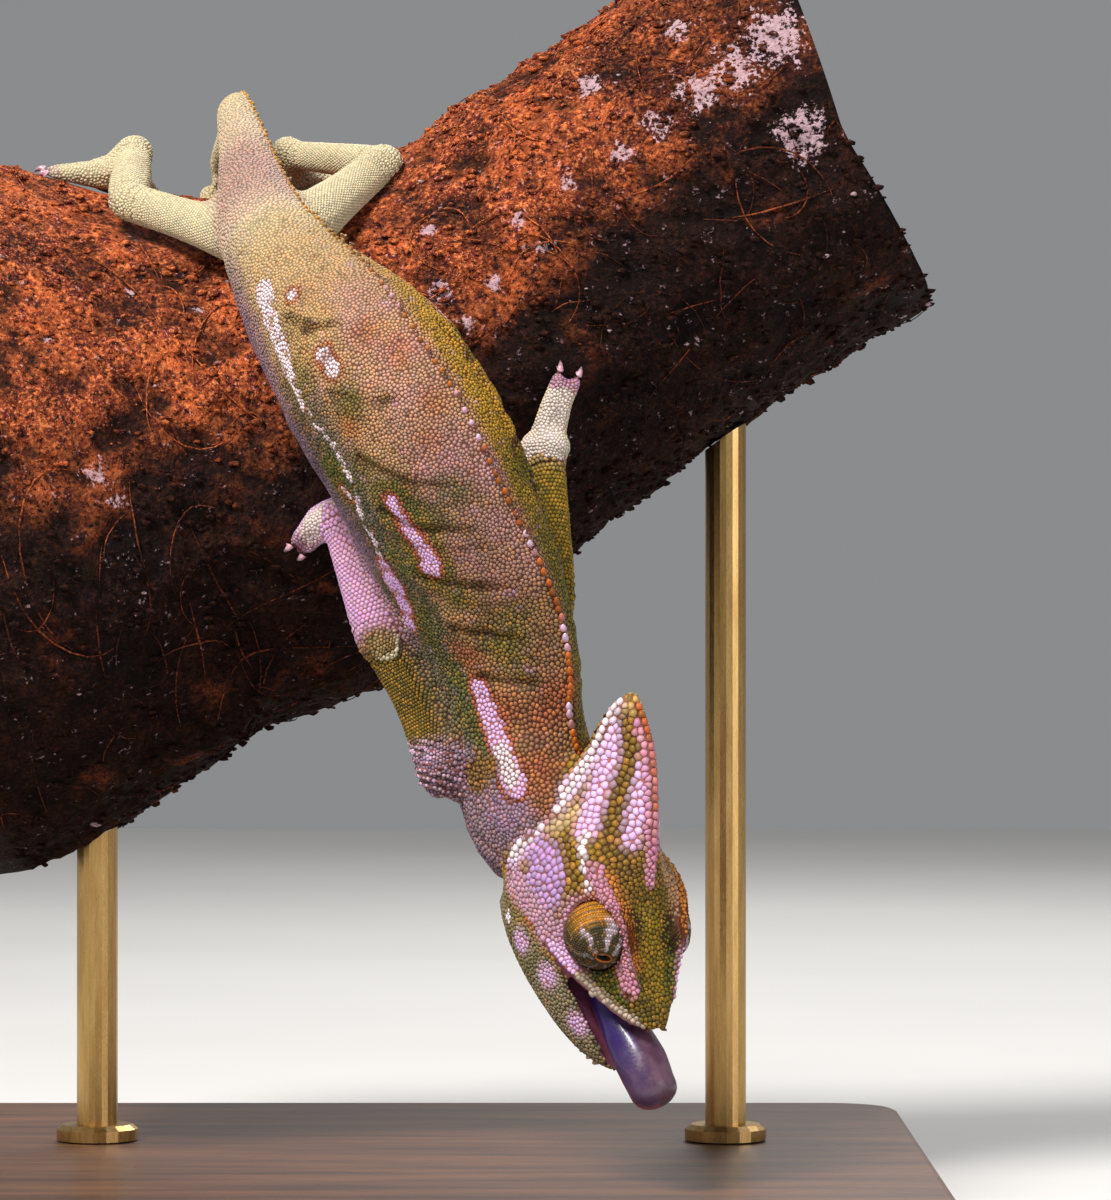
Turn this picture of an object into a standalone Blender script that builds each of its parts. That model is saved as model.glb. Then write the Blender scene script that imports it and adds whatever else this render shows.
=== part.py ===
"""Veiled chameleon, life size, climbing head down over a cut length of branch on a display stand.

Metres, +Z up. The origin is the middle of the stand's underside. The animal's back faces -Y.
"""

import math

import bmesh
import bpy
from mathutils import Matrix, Vector, noise
from mathutils.bvhtree import BVHTree

MM = 0.001
FIT_GAP = 0.35 * MM  # kept between pieces that meet
MOST_SHELL_FACTOR = 1.3  # keeps sharp slivers from being thrown far out

# Stand
BASE_SIZE = (210 * MM, 184 * MM, 12 * MM)
BASE_CORNER = 14 * MM
BASE_EDGE = 1.5 * MM
ROD_RADIUS = 4 * MM
ROD_COLLAR_RADIUS = 8 * MM
ROD_COLLAR_HEIGHT = 3 * MM
ROD_PLACES = {"left": -56 * MM, "right": 67 * MM}
BRANCH_DEPTH = 18 * MM  # Y of the branch's middle line, and of the rods

# Branch: middle height and radius from the left end to the right, in millimetres
BRANCH_HEIGHT = ((-82, 134.5), (-65, 137.5), (-36, 143.5), (-16, 147.5), (3, 157), (23, 170), (41, 182),
                 (86, 211))
BRANCH_RADIUS = ((-82, 70), (-65, 66.5), (-36, 53.5), (-16, 49), (3, 45), (23, 42), (41, 41.5), (86, 41))
BRANCH_RINGS = 19
BRANCH_SIDES = 30
BARK_LUMP = 1.6 * MM
BARK_LUMP_SIZE = 22 * MM
KNOB = {"place": Vector((-30, -10, 98)) * MM, "reach": 20 * MM, "rise": 5 * MM}

# Spine, from inside the skull to the tail's curl, in millimetres: place, way the back faces,
# and reach from there to the back, to the belly and to each flank
SPINE = (
    ((38.5, -58.3, 70.9), (0.44, -0.46, 0.77), 9, 12, 7),
    ((34.9, -55.0, 77.4), (0.47, -0.52, 0.70), 11, 17.6, 9.0),
    ((30.9, -50.5, 84.0), (0.55, -0.65, 0.50), 13, 20.2, 10.8),
    ((27.4, -47.0, 92.5), (0.60, -0.76, 0.20), 16, 18.5, 10.4),
    ((25.0, -45.5, 101.8), (0.60, -0.79, 0.17), 19, 19.5, 10.8),
    ((22.1, -46.0, 111.9), (0.56, -0.81, 0.20), 21.5, 21.5, 11.7),
    ((18.1, -47.8, 122.9), (0.48, -0.86, 0.22), 23.5, 23.5, 13.6),
    ((13.0, -50.0, 135.1), (0.42, -0.89, 0.20), 24.5, 24.5, 15.5),
    ((6.9, -51.0, 147.6), (0.42, -0.88, 0.22), 24, 24, 16.3),
    ((-1.5, -48.5, 160.0), (0.46, -0.83, 0.30), 21, 21, 16),
    ((-11.5, -41.0, 172.5), (0.62, -0.60, 0.50), 13.8, 15, 11.5),
    ((-20.3, -29.0, 186.4), (0.74, -0.48, 0.47), 9.4, 10, 8.2),
    ((-23.8, -18.0, 196.0), (0.87, -0.40, 0.28), 6.9, 7, 5.6),
    ((-26.0, -6.0, 204.2), (0.80, -0.35, 0.48), 5.4, 5.2, 4.3),
    ((-28.4, 10.0, 212.0), (0.42, -0.05, 0.91), 4.7, 4.5, 3.8),
    ((-29.6, 29.0, 212.6), (0.14, 0.05, 0.99), 4.2, 4.1, 3.6),
    ((-31.6, 50.0, 211.0), (0.05, 0.20, 0.98), 3.8, 3.7, 3.5),
)
CURL_CENTRE = Vector((-34.5, 71, 192.5)) * MM
CURL_START, CURL_TURNS = math.radians(85), 1.8
CURL_RADII = (15.6 * MM, 8.6 * MM, 3.9 * MM)  # at the start, after one turn and at the tip
CURL_DRIFT = -6 * MM  # sideways, from the first turn to the tip
CURL_POINTS_A_TURN = 12
TAIL_TIP_RADIUS = 0.9 * MM
TAIL_RADIUS_AT_CURL = 3.5 * MM

# Where the long body is parted, as lengths along the spine from its first point
NECK_END, TORSO_END = 27 * MM, 137 * MM
TAIL_PARTS = (("tail_base", 56 * MM), ("tail_middle", 60 * MM), ("tail_tip", None))

CREST_SPACING = 3.5 * MM
CREST_HEIGHT = 1.5 * MM
CREST_ROOT = 1.6 * MM

# Head frame: its origin lies midway between the corners of the mouth, x forward, y left, z up
HEAD_PLACE = Vector((32.2, -51.8, 62.8)) * MM
HEAD_FORWARD = Vector((0.54, -0.565, -0.624))
HEAD_LEFT = Vector((0.72, 0.69, 0.0))

# Head outlines, in millimetres, as (distance forward, value)
CROWN = ((-9, 40), (-7.5, 42.8), (-5, 43.1), (-1, 41.4), (3, 39), (8.5, 33.8), (13.5, 27.2), (17, 21.6),
         (20, 17.6), (23, 14.8), (25.5, 11.4), (28, 8.6), (33, 5), (36, 2.2))
CREST_WIDTH = ((-9, 2.0), (-6, 2.5), (-2, 2.3), (4, 2.0), (12, 1.9), (17, 2.6), (20, 4), (26, 4.2),
               (31, 2.8), (36, 1))
BROW_WIDTH = ((-9, 6.2), (-4, 8), (4, 9.2), (12, 10), (18, 10), (23, 8.9), (28, 6.5), (33, 3.7), (36, 1.7))
BROW_HEIGHT = ((-9, 13), (-4, 16), (4, 18.8), (12, 19.8), (18, 18.6), (23, 15.6), (25.5, 12.2), (28, 9),
               (33, 4.9), (36, 2))
CHEEK_WIDTH = ((-9, 7), (-4, 9.8), (4, 11.2), (10, 10.8), (18, 9.4), (26, 7.3), (31, 5.5), (34, 3.7),
               (36, 1.9))
CHEEK_HEIGHT = ((-9, 7), (-4, 7.5), (4, 7.5), (10, 5.5), (18, 4.2), (26, 3.4), (33, 2.2), (36, 1))
LIP_WIDTH = ((-9, 5.6), (-4, 8.2), (4, 9.9), (10, 10), (18, 9), (26, 7), (31, 5.2), (34, 3.4), (36, 1.6))
LIP_HEIGHT = ((-9, 1.6), (-4, -0.4), (2, 0), (18, -0.5), (30, -0.3), (36, 0))
HEAD_STATIONS = (-8.6, -7, -4.5, -1, 3, 7, 11, 14.5, 17.5, 20.5, 23.5, 26.5, 29.5, 32.2, 34.2, 35.4)
SNOUT_TIP = 36.1
NAPE_HOLLOW = 2.5  # how far the back of the skull is dished

JAW_LIP = ((-6, 0.6), (0, 0), (8, -0.2), (14, -1.2), (19, -2.7), (23, -4.5), (27, -6.8), (30, -9), (32.5, -11))
JAW_CHIN = ((-6, -6.5), (0, -8.8), (6, -11.2), (12, -13), (19, -14.2), (25, -14.2), (29, -13.4), (32.5, -12))
JAW_WIDTH = ((-6, 6.5), (0, 9), (10, 9.3), (18, 7.9), (24, 6.2), (29, 4), (32.5, 1.6))
JAW_STATIONS = (-5.5, -2.5, 1.5, 5.5, 9.5, 13.5, 17.5, 21, 24.5, 27.5, 30, 31.8)
JAW_TIP = (32.9, -11.6)
JAW_TROUGH = 1.8
CHIN_SPINE_COUNT = 9
CHIN_SPINE_HEIGHT = 1.0 * MM

EYE_PLACE = Vector((19, 7.1, 9.7)) * MM  # the left eye's; the right one is mirrored
EYE_RADIUS = 6.3 * MM
EYE_GAZE = {"left": Vector((0.5, 0.84, -0.2)), "right": Vector((0.89, -0.44, -0.12))}
PUPIL_RADIUS = 1.5 * MM
# Turret from its root to its rim: how far along the gaze and how wide, in eye radii
TURRET_PROFILE = ((-0.55, 0.78), (-0.3, 0.93), (0, 1.0), (0.28, 0.95), (0.52, 0.83), (0.7, 0.68), (0.84, 0.5),
                  (0.93, 0.36))
NOSTRIL_PLACE = Vector((30.4, 5.9, 4.6)) * MM
NOSTRIL_RADIUS = 0.9 * MM

# Tongue: middle line in the head frame with its radius, in millimetres
TONGUE = ((9, -0.8, 1.5), (16, -1.8, 2.6), (23, -3.1, 3.5), (30, -4.8, 4.2), (36, -6.2, 4.9), (41, -7.8, 4.5))

# Legs: joints in millimetres, each limb's radii at its start, middle and end, and the toes' ways
LEGS = {
    "foreleg_right": {
        "joints": ((13.2, -44.6, 86.8), (1.3, -42.9, 110.2), (-7.6, -32.5, 133.8)),
        "upper": (5.6, 3.3, 4.1), "lower": (4.7, 3.7, 2.9), "foot": "forefoot_right",
        "palm": (-9.6, -28.5, 134.0),
        "bundles": (((-0.6, 0, -0.8), 2, 7.5), ((0.85, 0, -0.3), 3, 8.5)),
    },
    "foreleg_left": {
        "joints": ((31.6, -35.0, 92.8), (33.9, -31.0, 118.5), (32.0, -20.5, 145.5)),
        "upper": (5.2, 3.6, 3.9), "lower": (4.2, 3.8, 3.7), "foot": "forefoot_left",
        "palm": (30.8, -15.0, 150.0),
        "bundles": (((0.22, 0, 0.975), 2, 14.5), ((-0.45, 0, -0.9), 3, 9)),
    },
    "hindleg_right": {
        "joints": ((-22.0, -26.5, 184.5), (-47.6, -10.5, 193.6), (-48.2, 12.0, 204.4)),
        "upper": (6.4, 4.4, 4.1), "lower": (4.3, 4.3, 3.4), "foot": "hindfoot_right",
        "palm": (-51.5, 13.0, 200.0),
        "bundles": (((-1.0, -0.25, 0), 2, 13.5), ((0.3, 1.0, 0), 3, 12)),
    },
    "hindleg_left": {
        "joints": ((-14.0, -24.0, 187.5), (0.9, -3.0, 201.5), (-18.4, 17.5, 205.0)),
        "upper": (6.4, 4.6, 4.2), "lower": (4.2, 3.6, 3.0), "foot": "hindfoot_left",
        "palm": (-19.5, 21.5, 200.5),
        "bundles": (((0.5, 1.0, 0), 3, 13), ((-1.0, 0.6, 0), 2, 12)),
    },
}
# Toe radii are those where they grow from the palm
TOE_RADIUS = {"forefoot_right": 2.5 * MM, "forefoot_left": 2.9 * MM, "hindfoot_right": 4.0 * MM,
              "hindfoot_left": 2.9 * MM}
# Share of its radius that a toe loses by its tip
TOE_TAPER = {"forefoot_right": 0.4, "forefoot_left": 0.4, "hindfoot_right": 0.66, "hindfoot_left": 0.4}
TOE_SPREAD = 1.0  # between fused neighbours, in toe radii, more towards the tips
TOE_SHARES = (0.0, 0.3, 0.6, 0.85, 1.0)
PALM_RADIUS = {"forefoot_right": 3.7 * MM, "forefoot_left": 4.6 * MM, "hindfoot_right": 4.5 * MM,
               "hindfoot_left": 4.4 * MM}
CLAW_LENGTH = 1.7 * MM
CLAW_RADIUS = 0.9 * MM

COLOURS = {
    "flank": ((0.36, 0.33, 0.13), 0.55),
    "head": ((0.52, 0.42, 0.30), 0.5),
    "limb": ((0.50, 0.48, 0.20), 0.55),
    "tail": ((0.56, 0.48, 0.26), 0.55),
    "eye": ((0.30, 0.25, 0.10), 0.35),
    "tongue": ((0.36, 0.26, 0.42), 0.25),
    "bark": ((0.24, 0.09, 0.04), 0.9),
    "base": ((0.16, 0.10, 0.06), 0.4),
    "rod": ((0.72, 0.58, 0.32), 0.3),
}


def material(slot):
    """One Principled material for each slot."""
    made = bpy.data.materials.get(slot)
    if made:
        return made
    made = bpy.data.materials.new(slot)
    made.use_nodes = True
    colour, roughness = COLOURS[slot]
    shader = made.node_tree.nodes["Principled BSDF"]
    shader.inputs["Base Color"].default_value = (*colour, 1)
    shader.inputs["Roughness"].default_value = roughness
    shader.inputs["Metallic"].default_value = 1.0 if slot == "rod" else 0.0
    return made


def object_from(name, bm, slot=None, parent=None):
    """An object from a bmesh, its faces turned outwards and shaded smooth."""
    bmesh.ops.recalc_face_normals(bm, faces=bm.faces)
    if bm.calc_volume(signed=True) < 0:
        bmesh.ops.reverse_faces(bm, faces=bm.faces)
    mesh = bpy.data.meshes.new(name)
    bm.to_mesh(mesh)
    bm.free()
    mesh.shade_smooth()
    made = bpy.data.objects.new(name, mesh)
    bpy.context.scene.collection.objects.link(made)
    if slot:
        mesh.materials.append(material(slot))
    made.parent = parent
    return made


def smooth_through(rows, places, count):
    """Rows of numbers read at `count` even steps along a smooth curve through them."""
    lengths = [0.0]
    for before, after in zip(places, places[1:]):
        lengths.append(lengths[-1] + abs(after - before))
    slopes = []
    for i in range(len(rows)):
        a, b = max(0, i - 1), min(len(rows) - 1, i + 1)
        gap = lengths[b] - lengths[a]
        slopes.append([(q - p) / gap for p, q in zip(rows[a], rows[b])])
    read = []
    for k in range(count):
        s = lengths[-1] * k / (count - 1)
        i = max(j for j in range(len(rows) - 1) if lengths[j] <= s + 1e-12)
        gap = lengths[i + 1] - lengths[i]
        t = (s - lengths[i]) / gap
        h00, h10 = 2 * t**3 - 3 * t**2 + 1, t**3 - 2 * t**2 + t
        h01, h11 = -2 * t**3 + 3 * t**2, t**3 - t**2
        read.append([
            h00 * p + h10 * gap * m + h01 * q + h11 * gap * n
            for p, q, m, n in zip(rows[i], rows[i + 1], slopes[i], slopes[i + 1])
        ])
    return read


def outline(pairs, place):
    """A head outline's value at a distance forward, eased between its pairs."""
    if place <= pairs[0][0]:
        return pairs[0][1]
    for i in range(len(pairs) - 1):
        (a, p), (b, q) = pairs[i], pairs[i + 1]
        if place <= b:
            before = pairs[max(0, i - 1)]
            after = pairs[min(len(pairs) - 1, i + 2)]
            m = (q - before[1]) / (b - before[0])
            n = (after[1] - p) / (after[0] - a)
            t = (place - a) / (b - a)
            h10, h01, h11 = t**3 - 2 * t**2 + t, -2 * t**3 + 3 * t**2, t**3 - t**2
            return p * (1 - h01) + h10 * (b - a) * m + h01 * q + h11 * (b - a) * n
    return pairs[-1][1]


def loft(rings, ends=(None, None)):
    """A closed bmesh through rings of points, each end drawn to a point or to the ring's middle."""
    bm = bmesh.new()
    loops = [[bm.verts.new(p) for p in ring] for ring in rings]
    for first, second in zip(loops, loops[1:]):
        for k in range(len(first)):
            j = (k + 1) % len(first)
            bm.faces.new((first[k], first[j], second[j], second[k]))
    for loop, ring, end in ((loops[0], rings[0], ends[0]), (loops[-1], rings[-1], ends[1])):
        pole = bm.verts.new(end if end is not None else sum(ring, Vector()) / len(ring))
        for k in range(len(loop)):
            bm.faces.new((loop[k], loop[(k + 1) % len(loop)], pole))
    return bm


def egg_ring(centre, left, up, to_back, to_belly, to_side, sides, ridge=1.0):
    """An egg-shaped section. `ridge` over 1 draws its top towards a ridge."""
    ring = []
    for k in range(sides):
        turn = 2 * math.pi * k / sides
        across, rise = math.sin(turn), math.cos(turn)
        narrowing = ridge if rise > 0 else 1 + (ridge - 1) * 0.35
        across = math.copysign(abs(across) ** narrowing, across)
        reach = to_back if rise > 0 else to_belly
        ring.append(centre + left * (across * to_side) + up * (rise * reach))
    return ring


def limb(start, end, radii, sides=12, flat=0.9):
    """A tapering limb with round ends, its hinge side kept level with the ground."""
    along = (end - start).normalized()
    side = along.cross(Vector((0, 1, 0))).normalized()
    up = side.cross(along)
    first, middle, last = radii
    rings = []

    def add(place, radius):
        rings.append(egg_ring(place, side, up, radius * flat, radius * flat, radius, sides))

    for turn in (25, 50, 72):
        add(start - along * first * math.cos(math.radians(turn)), first * math.sin(math.radians(turn)))
    steps = 7
    for k in range(steps + 1):
        t = k / steps
        belly = math.sin(math.pi * t)
        radius = first + (last - first) * t + (middle - (first + last) / 2) * belly
        add(start.lerp(end, t), radius)
    for turn in (72, 50, 25):
        add(end + along * last * math.cos(math.radians(turn)), last * math.sin(math.radians(turn)))
    return loft(rings, (start - along * first, end + along * last))


def cone(root, tip, radius_along, radius_across, along, sides=6):
    """A small spine: an oval root ring drawn to a tip."""
    rise = (tip - root).normalized()
    across = rise.cross(along).normalized()
    length = across.cross(rise)
    ring = [
        root + length * (radius_along * math.cos(2 * math.pi * k / sides))
        + across * (radius_across * math.sin(2 * math.pi * k / sides))
        for k in range(sides)
    ]
    bm = bmesh.new()
    loop = [bm.verts.new(p) for p in ring]
    top = bm.verts.new(tip)
    bm.faces.new(loop)
    for k in range(sides):
        bm.faces.new((loop[k], loop[(k + 1) % sides], top))
    return bm


def largest_surface(mesh):
    """Drops all but the largest closed surface, so that a node stays one body."""
    bm = bmesh.new()
    bm.from_mesh(mesh)
    left, shells = set(bm.verts), []
    while left:
        todo, shell = [left.pop()], set()
        while todo:
            vertex = todo.pop()
            shell.add(vertex)
            for edge in vertex.link_edges:
                other = edge.other_vert(vertex)
                if other in left:
                    left.discard(other)
                    todo.append(other)
        shells.append(shell)
    shells.sort(key=len)
    scraps = [vertex for shell in shells[:-1] for vertex in shell]
    bmesh.ops.delete(bm, geom=scraps, context="VERTS")
    bm.to_mesh(mesh)
    bm.free()


def combine(target, others, operation):
    """Applies one Boolean of target with the others, which are then removed."""
    bpy.context.view_layer.update()
    group = bpy.data.collections.new("pieces")
    for other in others:
        group.objects.link(other)
    boolean = target.modifiers.new("join", "BOOLEAN")
    boolean.operation = operation
    boolean.operand_type = "COLLECTION"
    boolean.collection = group
    for solver in ("EXACT", "MANIFOLD"):
        boolean.solver = solver
        graph = bpy.context.evaluated_depsgraph_get()
        graph.update()
        mesh = bpy.data.meshes.new_from_object(target.evaluated_get(graph))
        if mesh.polygons:
            break
    target.modifiers.clear()
    old, target.data = target.data, mesh
    bpy.data.meshes.remove(old)
    bpy.data.collections.remove(group)
    for other in others:
        bpy.data.meshes.remove(other.data)
    largest_surface(target.data)
    target.data.name = target.name
    target.data.shade_smooth()


def swollen(source, gap=FIT_GAP):
    """A copy of an object, grown by the gap all round, to cut its neighbours clear of it."""
    bm = bmesh.new()
    bm.from_mesh(source.data)
    bm.normal_update()
    for vertex in bm.verts:
        vertex.co += vertex.normal * (gap * min(vertex.calc_shell_factor(), MOST_SHELL_FACTOR))
    mesh = bpy.data.meshes.new("swollen")
    bm.to_mesh(mesh)
    bm.free()
    copy = bpy.data.objects.new("swollen", mesh)
    bpy.context.scene.collection.objects.link(copy)
    copy.parent = source.parent
    return copy


def clear_of(target, *neighbours):
    """Cuts target back so that it keeps the gap to each neighbour."""
    for neighbour in neighbours:
        combine(target, [swollen(neighbour)], "DIFFERENCE")


def make_base():
    bm = bmesh.new()
    bmesh.ops.create_cube(bm, size=1)
    bmesh.ops.scale(bm, vec=BASE_SIZE, verts=bm.verts)
    bmesh.ops.translate(bm, vec=(0, 0, BASE_SIZE[2] / 2), verts=bm.verts)
    uprights = [e for e in bm.edges if abs(e.verts[0].co.z - e.verts[1].co.z) > BASE_SIZE[2] / 2]
    bmesh.ops.bevel(bm, geom=uprights, offset=BASE_CORNER, segments=6, profile=0.5, affect="EDGES")
    rim = [e for e in bm.edges if min(v.co.z for v in e.verts) > BASE_SIZE[2] * 0.9]
    bmesh.ops.bevel(bm, geom=rim, offset=BASE_EDGE, segments=2, profile=0.5, affect="EDGES")
    base = object_from("stand_base", bm, "base")
    base.data.set_sharp_from_angle(angle=math.radians(40))
    return base


def branch_station(x):
    """Middle height and radius of the branch at x."""
    return outline(BRANCH_HEIGHT, x / MM) * MM, outline(BRANCH_RADIUS, x / MM) * MM


def make_branch():
    """A lumpy, tapering length of branch, sawn square at both ends."""
    start, end = BRANCH_HEIGHT[0][0] * MM, BRANCH_HEIGHT[-1][0] * MM
    rings = []
    for i in range(BRANCH_RINGS):
        x = start + (end - start) * i / (BRANCH_RINGS - 1)
        height, radius = branch_station(x)
        rise = branch_station(x + MM)[0] - branch_station(x - MM)[0]
        along = Vector((2 * MM, 0, rise)).normalized()
        centre = Vector((x, BRANCH_DEPTH, height))
        ring = []
        for k in range(BRANCH_SIDES):
            turn = 2 * math.pi * k / BRANCH_SIDES
            out = Vector((0, 1, 0)) * math.cos(turn) + along.cross(Vector((0, 1, 0))) * math.sin(turn)
            spot = centre + out * radius
            lump = noise.noise(spot / BARK_LUMP_SIZE) + 0.5 * noise.noise(spot / (BARK_LUMP_SIZE * 0.45))
            near = max(0.0, 1 - (spot - KNOB["place"]).length / KNOB["reach"])
            ring.append(spot + out * (lump * BARK_LUMP + near * near * (3 - 2 * near) * KNOB["rise"]))
        rings.append(ring)
    return object_from("perch_branch", loft(rings), "bark")


def make_rod(side, x, branch):
    """A round rod with a collar at its foot, its top shaped to the branch."""
    bottom = BASE_SIZE[2] + 0.3 * MM
    top = branch_station(x)[0]
    profile = (
        (bottom, ROD_COLLAR_RADIUS), (bottom + ROD_COLLAR_HEIGHT * 0.7, ROD_COLLAR_RADIUS),
        (bottom + ROD_COLLAR_HEIGHT, ROD_COLLAR_RADIUS * 0.85),
        (bottom + ROD_COLLAR_HEIGHT, ROD_RADIUS), (top, ROD_RADIUS),
    )
    middle = Vector((x, BRANCH_DEPTH, 0))
    rings = [
        egg_ring(middle + Vector((0, 0, z)), Vector((1, 0, 0)), Vector((0, 1, 0)), r, r, r, 20)
        for z, r in profile
    ]
    rod = object_from(f"stand_rod_{side}", loft(rings), "rod")
    clear_of(rod, branch)
    rod.data.set_sharp_from_angle(angle=math.radians(40))
    return rod


def curl_rows():
    """The tail's curl: a spiral that closes on itself and drifts sideways."""
    outer, second, tip = CURL_RADII
    steps = round(CURL_TURNS * CURL_POINTS_A_TURN)
    rows = []
    for k in range(steps + 1):
        turns = CURL_TURNS * k / steps
        if turns < 1:
            radius = outer + (second - outer) * turns
        else:
            radius = second + (tip - second) * (turns - 1) / (CURL_TURNS - 1)
        angle = CURL_START - 2 * math.pi * turns
        out = Vector((0, math.cos(angle), math.sin(angle)))
        place = CURL_CENTRE + out * radius + Vector((CURL_DRIFT * turns / CURL_TURNS, 0, 0))
        thick = TAIL_RADIUS_AT_CURL + (TAIL_TIP_RADIUS - TAIL_RADIUS_AT_CURL) * (turns / CURL_TURNS)
        rows.append((*place, *out, thick * 1.08, thick * 1.05, thick))
    return rows


class Spine:
    """The body's middle line with its frames and sizes, read by length from the skull."""

    STEP = 0.5 * MM

    def __init__(self):
        rows = [
            (*(v * MM for v in place), *back, up * MM, down * MM, side * MM)
            for place, back, up, down, side in SPINE
        ]
        rows += curl_rows()
        places = [0.0]
        for a, b in zip(rows, rows[1:]):
            places.append(places[-1] + (Vector(b[:3]) - Vector(a[:3])).length)
        self.length = places[-1]
        self.rows = smooth_through(rows, places, round(self.length / self.STEP) + 1)

    def at(self, s):
        """Centre, forward, left and up directions, and reach to back, belly and side."""
        t = min(max(s / self.length, 0), 1) * (len(self.rows) - 1)
        i = min(int(t), len(self.rows) - 2)
        row = [a + (b - a) * (t - i) for a, b in zip(self.rows[i], self.rows[i + 1])]
        a, b = max(0, i - 2), min(len(self.rows) - 1, i + 3)
        forward = (Vector(self.rows[a][:3]) - Vector(self.rows[b][:3])).normalized()
        up = Vector(row[3:6])
        up = (up - forward * up.dot(forward)).normalized()
        return Vector(row[:3]), forward, up.cross(forward), up, *row[6:]

    def tube(self, start, end, step, sides, ridge, tip=False):
        count = max(3, round((end - start) / step) + 1)
        rings = []
        for k in range(count):
            # The first face lies level with its neighbour's last
            shift = FIT_GAP if k == 0 and start > 0 else 0
            s = start + (end - start) * k / (count - 1) - shift
            centre, forward, left, up, back, belly, side = self.at(s)
            rings.append(egg_ring(centre - forward * shift, left, up, back, belly, side, sides, ridge))
        centre, forward, *_ = self.at(end)
        return loft(rings, (None, centre - forward * TAIL_TIP_RADIUS if tip else None))

    def crest(self, start, end, spacing, height):
        """Spines along the back, leaning towards the tail and shrinking along it."""
        made = []
        first, last = start + 1.5 * CREST_ROOT, end - 1.5 * CREST_ROOT
        for k in range(int((last - first) / spacing) + 1):
            centre, forward, _, up, back, _, side = self.at(first + spacing * k)
            rise = height * (1.15 if k % 3 else 0.85)
            root = centre + up * (back - CREST_ROOT * 0.8)
            tip = centre + up * (back + rise) - forward * rise * 0.45
            across = min(CREST_ROOT * 0.7, side * 0.5)
            made.append(object_from("spine", cone(root, tip, CREST_ROOT, across, forward)))
        return made


def make_body(spine):
    """Neck, torso and three lengths of tail, with the row of spines along the back."""
    nodes = {}
    neck = spine.tube(0, NECK_END, 3.6 * MM, 24, 1.18)
    nodes["neck"] = object_from("neck", neck, "flank")
    start = NECK_END + FIT_GAP
    torso = spine.tube(start, TORSO_END, 4.4 * MM, 28, 1.22)
    nodes["torso"] = object_from("torso", torso, "flank")
    combine(nodes["torso"], spine.crest(start, TORSO_END, CREST_SPACING, CREST_HEIGHT), "UNION")
    start, sides = TORSO_END, 18
    for name, length in TAIL_PARTS:
        start += FIT_GAP
        end = spine.length if length is None else start + length
        step = 4 * MM if length else 2.6 * MM
        tube = spine.tube(start, end, step, sides, 1.1, tip=length is None)
        nodes[name] = object_from(name, tube, "tail")
        if length:
            share = 0.75 if name == "tail_base" else 0.5
            spines = spine.crest(start, end, CREST_SPACING * 1.15, CREST_HEIGHT * share)
            combine(nodes[name], spines, "UNION")
        start, sides = end, sides - 4
    return nodes


def make_head_frame():
    """The empty that carries the head's pieces."""
    forward = HEAD_FORWARD.normalized()
    left = (HEAD_LEFT - forward * HEAD_LEFT.dot(forward)).normalized()
    up = forward.cross(left)
    frame = bpy.data.objects.new("head_frame", None)
    frame.matrix_world = Matrix((
        (forward.x, left.x, up.x, HEAD_PLACE.x),
        (forward.y, left.y, up.y, HEAD_PLACE.y),
        (forward.z, left.z, up.z, HEAD_PLACE.z),
        (0, 0, 0, 1),
    ))
    bpy.context.scene.collection.objects.link(frame)
    return frame


def both_sides(half):
    """A closed ring from the points of the left half, whose first and last lie on the midline."""
    return half + [Vector((p.x, -p.y, p.z)) for p in reversed(half[1:-1])]


def skull_ring(x):
    """The left half of the skull's section at x: palate, lip, cheek, brow, casque and crown."""
    lip, lip_z = outline(LIP_WIDTH, x), outline(LIP_HEIGHT, x)
    cheek, cheek_z = outline(CHEEK_WIDTH, x), outline(CHEEK_HEIGHT, x)
    brow, brow_z = outline(BROW_WIDTH, x), outline(BROW_HEIGHT, x)
    crown, crest = outline(CROWN, x), outline(CREST_WIDTH, x)
    rise = crown - brow_z
    half = (
        (0, lip_z + 2.2 * min(1, lip / 6)), (lip * 0.55, lip_z + 1.7 * min(1, lip / 6)),
        (lip * 0.88, lip_z + 0.2), (lip, lip_z + 0.1), (lip + 0.35, lip_z + 1.2),
        (cheek, cheek_z), ((cheek + brow) / 2, (cheek_z * 0.45 + brow_z * 0.55)),
        (brow - 0.15, brow_z - 1.6), (brow, brow_z - 0.2), (brow - 0.9, brow_z + 0.5),
        (crest + (brow - crest) * 0.5, brow_z + rise * 0.32),
        (crest + (brow - crest) * 0.18, brow_z + rise * 0.66),
        (crest * 1.05, brow_z + rise * 0.93), (crest * 0.5, crown), (0, crown + 0.1),
    )
    return both_sides([Vector((x, y, z)) * MM for y, z in half])


def make_skull(frame):
    """The head above the mouth, with the casque in one piece with it."""
    rings = [skull_ring(x) for x in HEAD_STATIONS]
    nape = Vector((HEAD_STATIONS[0] + NAPE_HOLLOW, 0, 16)) * MM
    snout = Vector((SNOUT_TIP, 0, 2.2)) * MM
    head = object_from("head", loft(rings, (nape, snout)), "head", frame)
    nostrils = []
    for side in (1, -1):
        bm = bmesh.new()
        place = Vector((NOSTRIL_PLACE.x, NOSTRIL_PLACE.y * side, NOSTRIL_PLACE.z))
        bmesh.ops.create_icosphere(bm, subdivisions=2, radius=NOSTRIL_RADIUS, matrix=Matrix.Translation(place))
        nostrils.append(object_from("nostril", bm, parent=frame))
    combine(head, nostrils, "DIFFERENCE")
    return head


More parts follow.
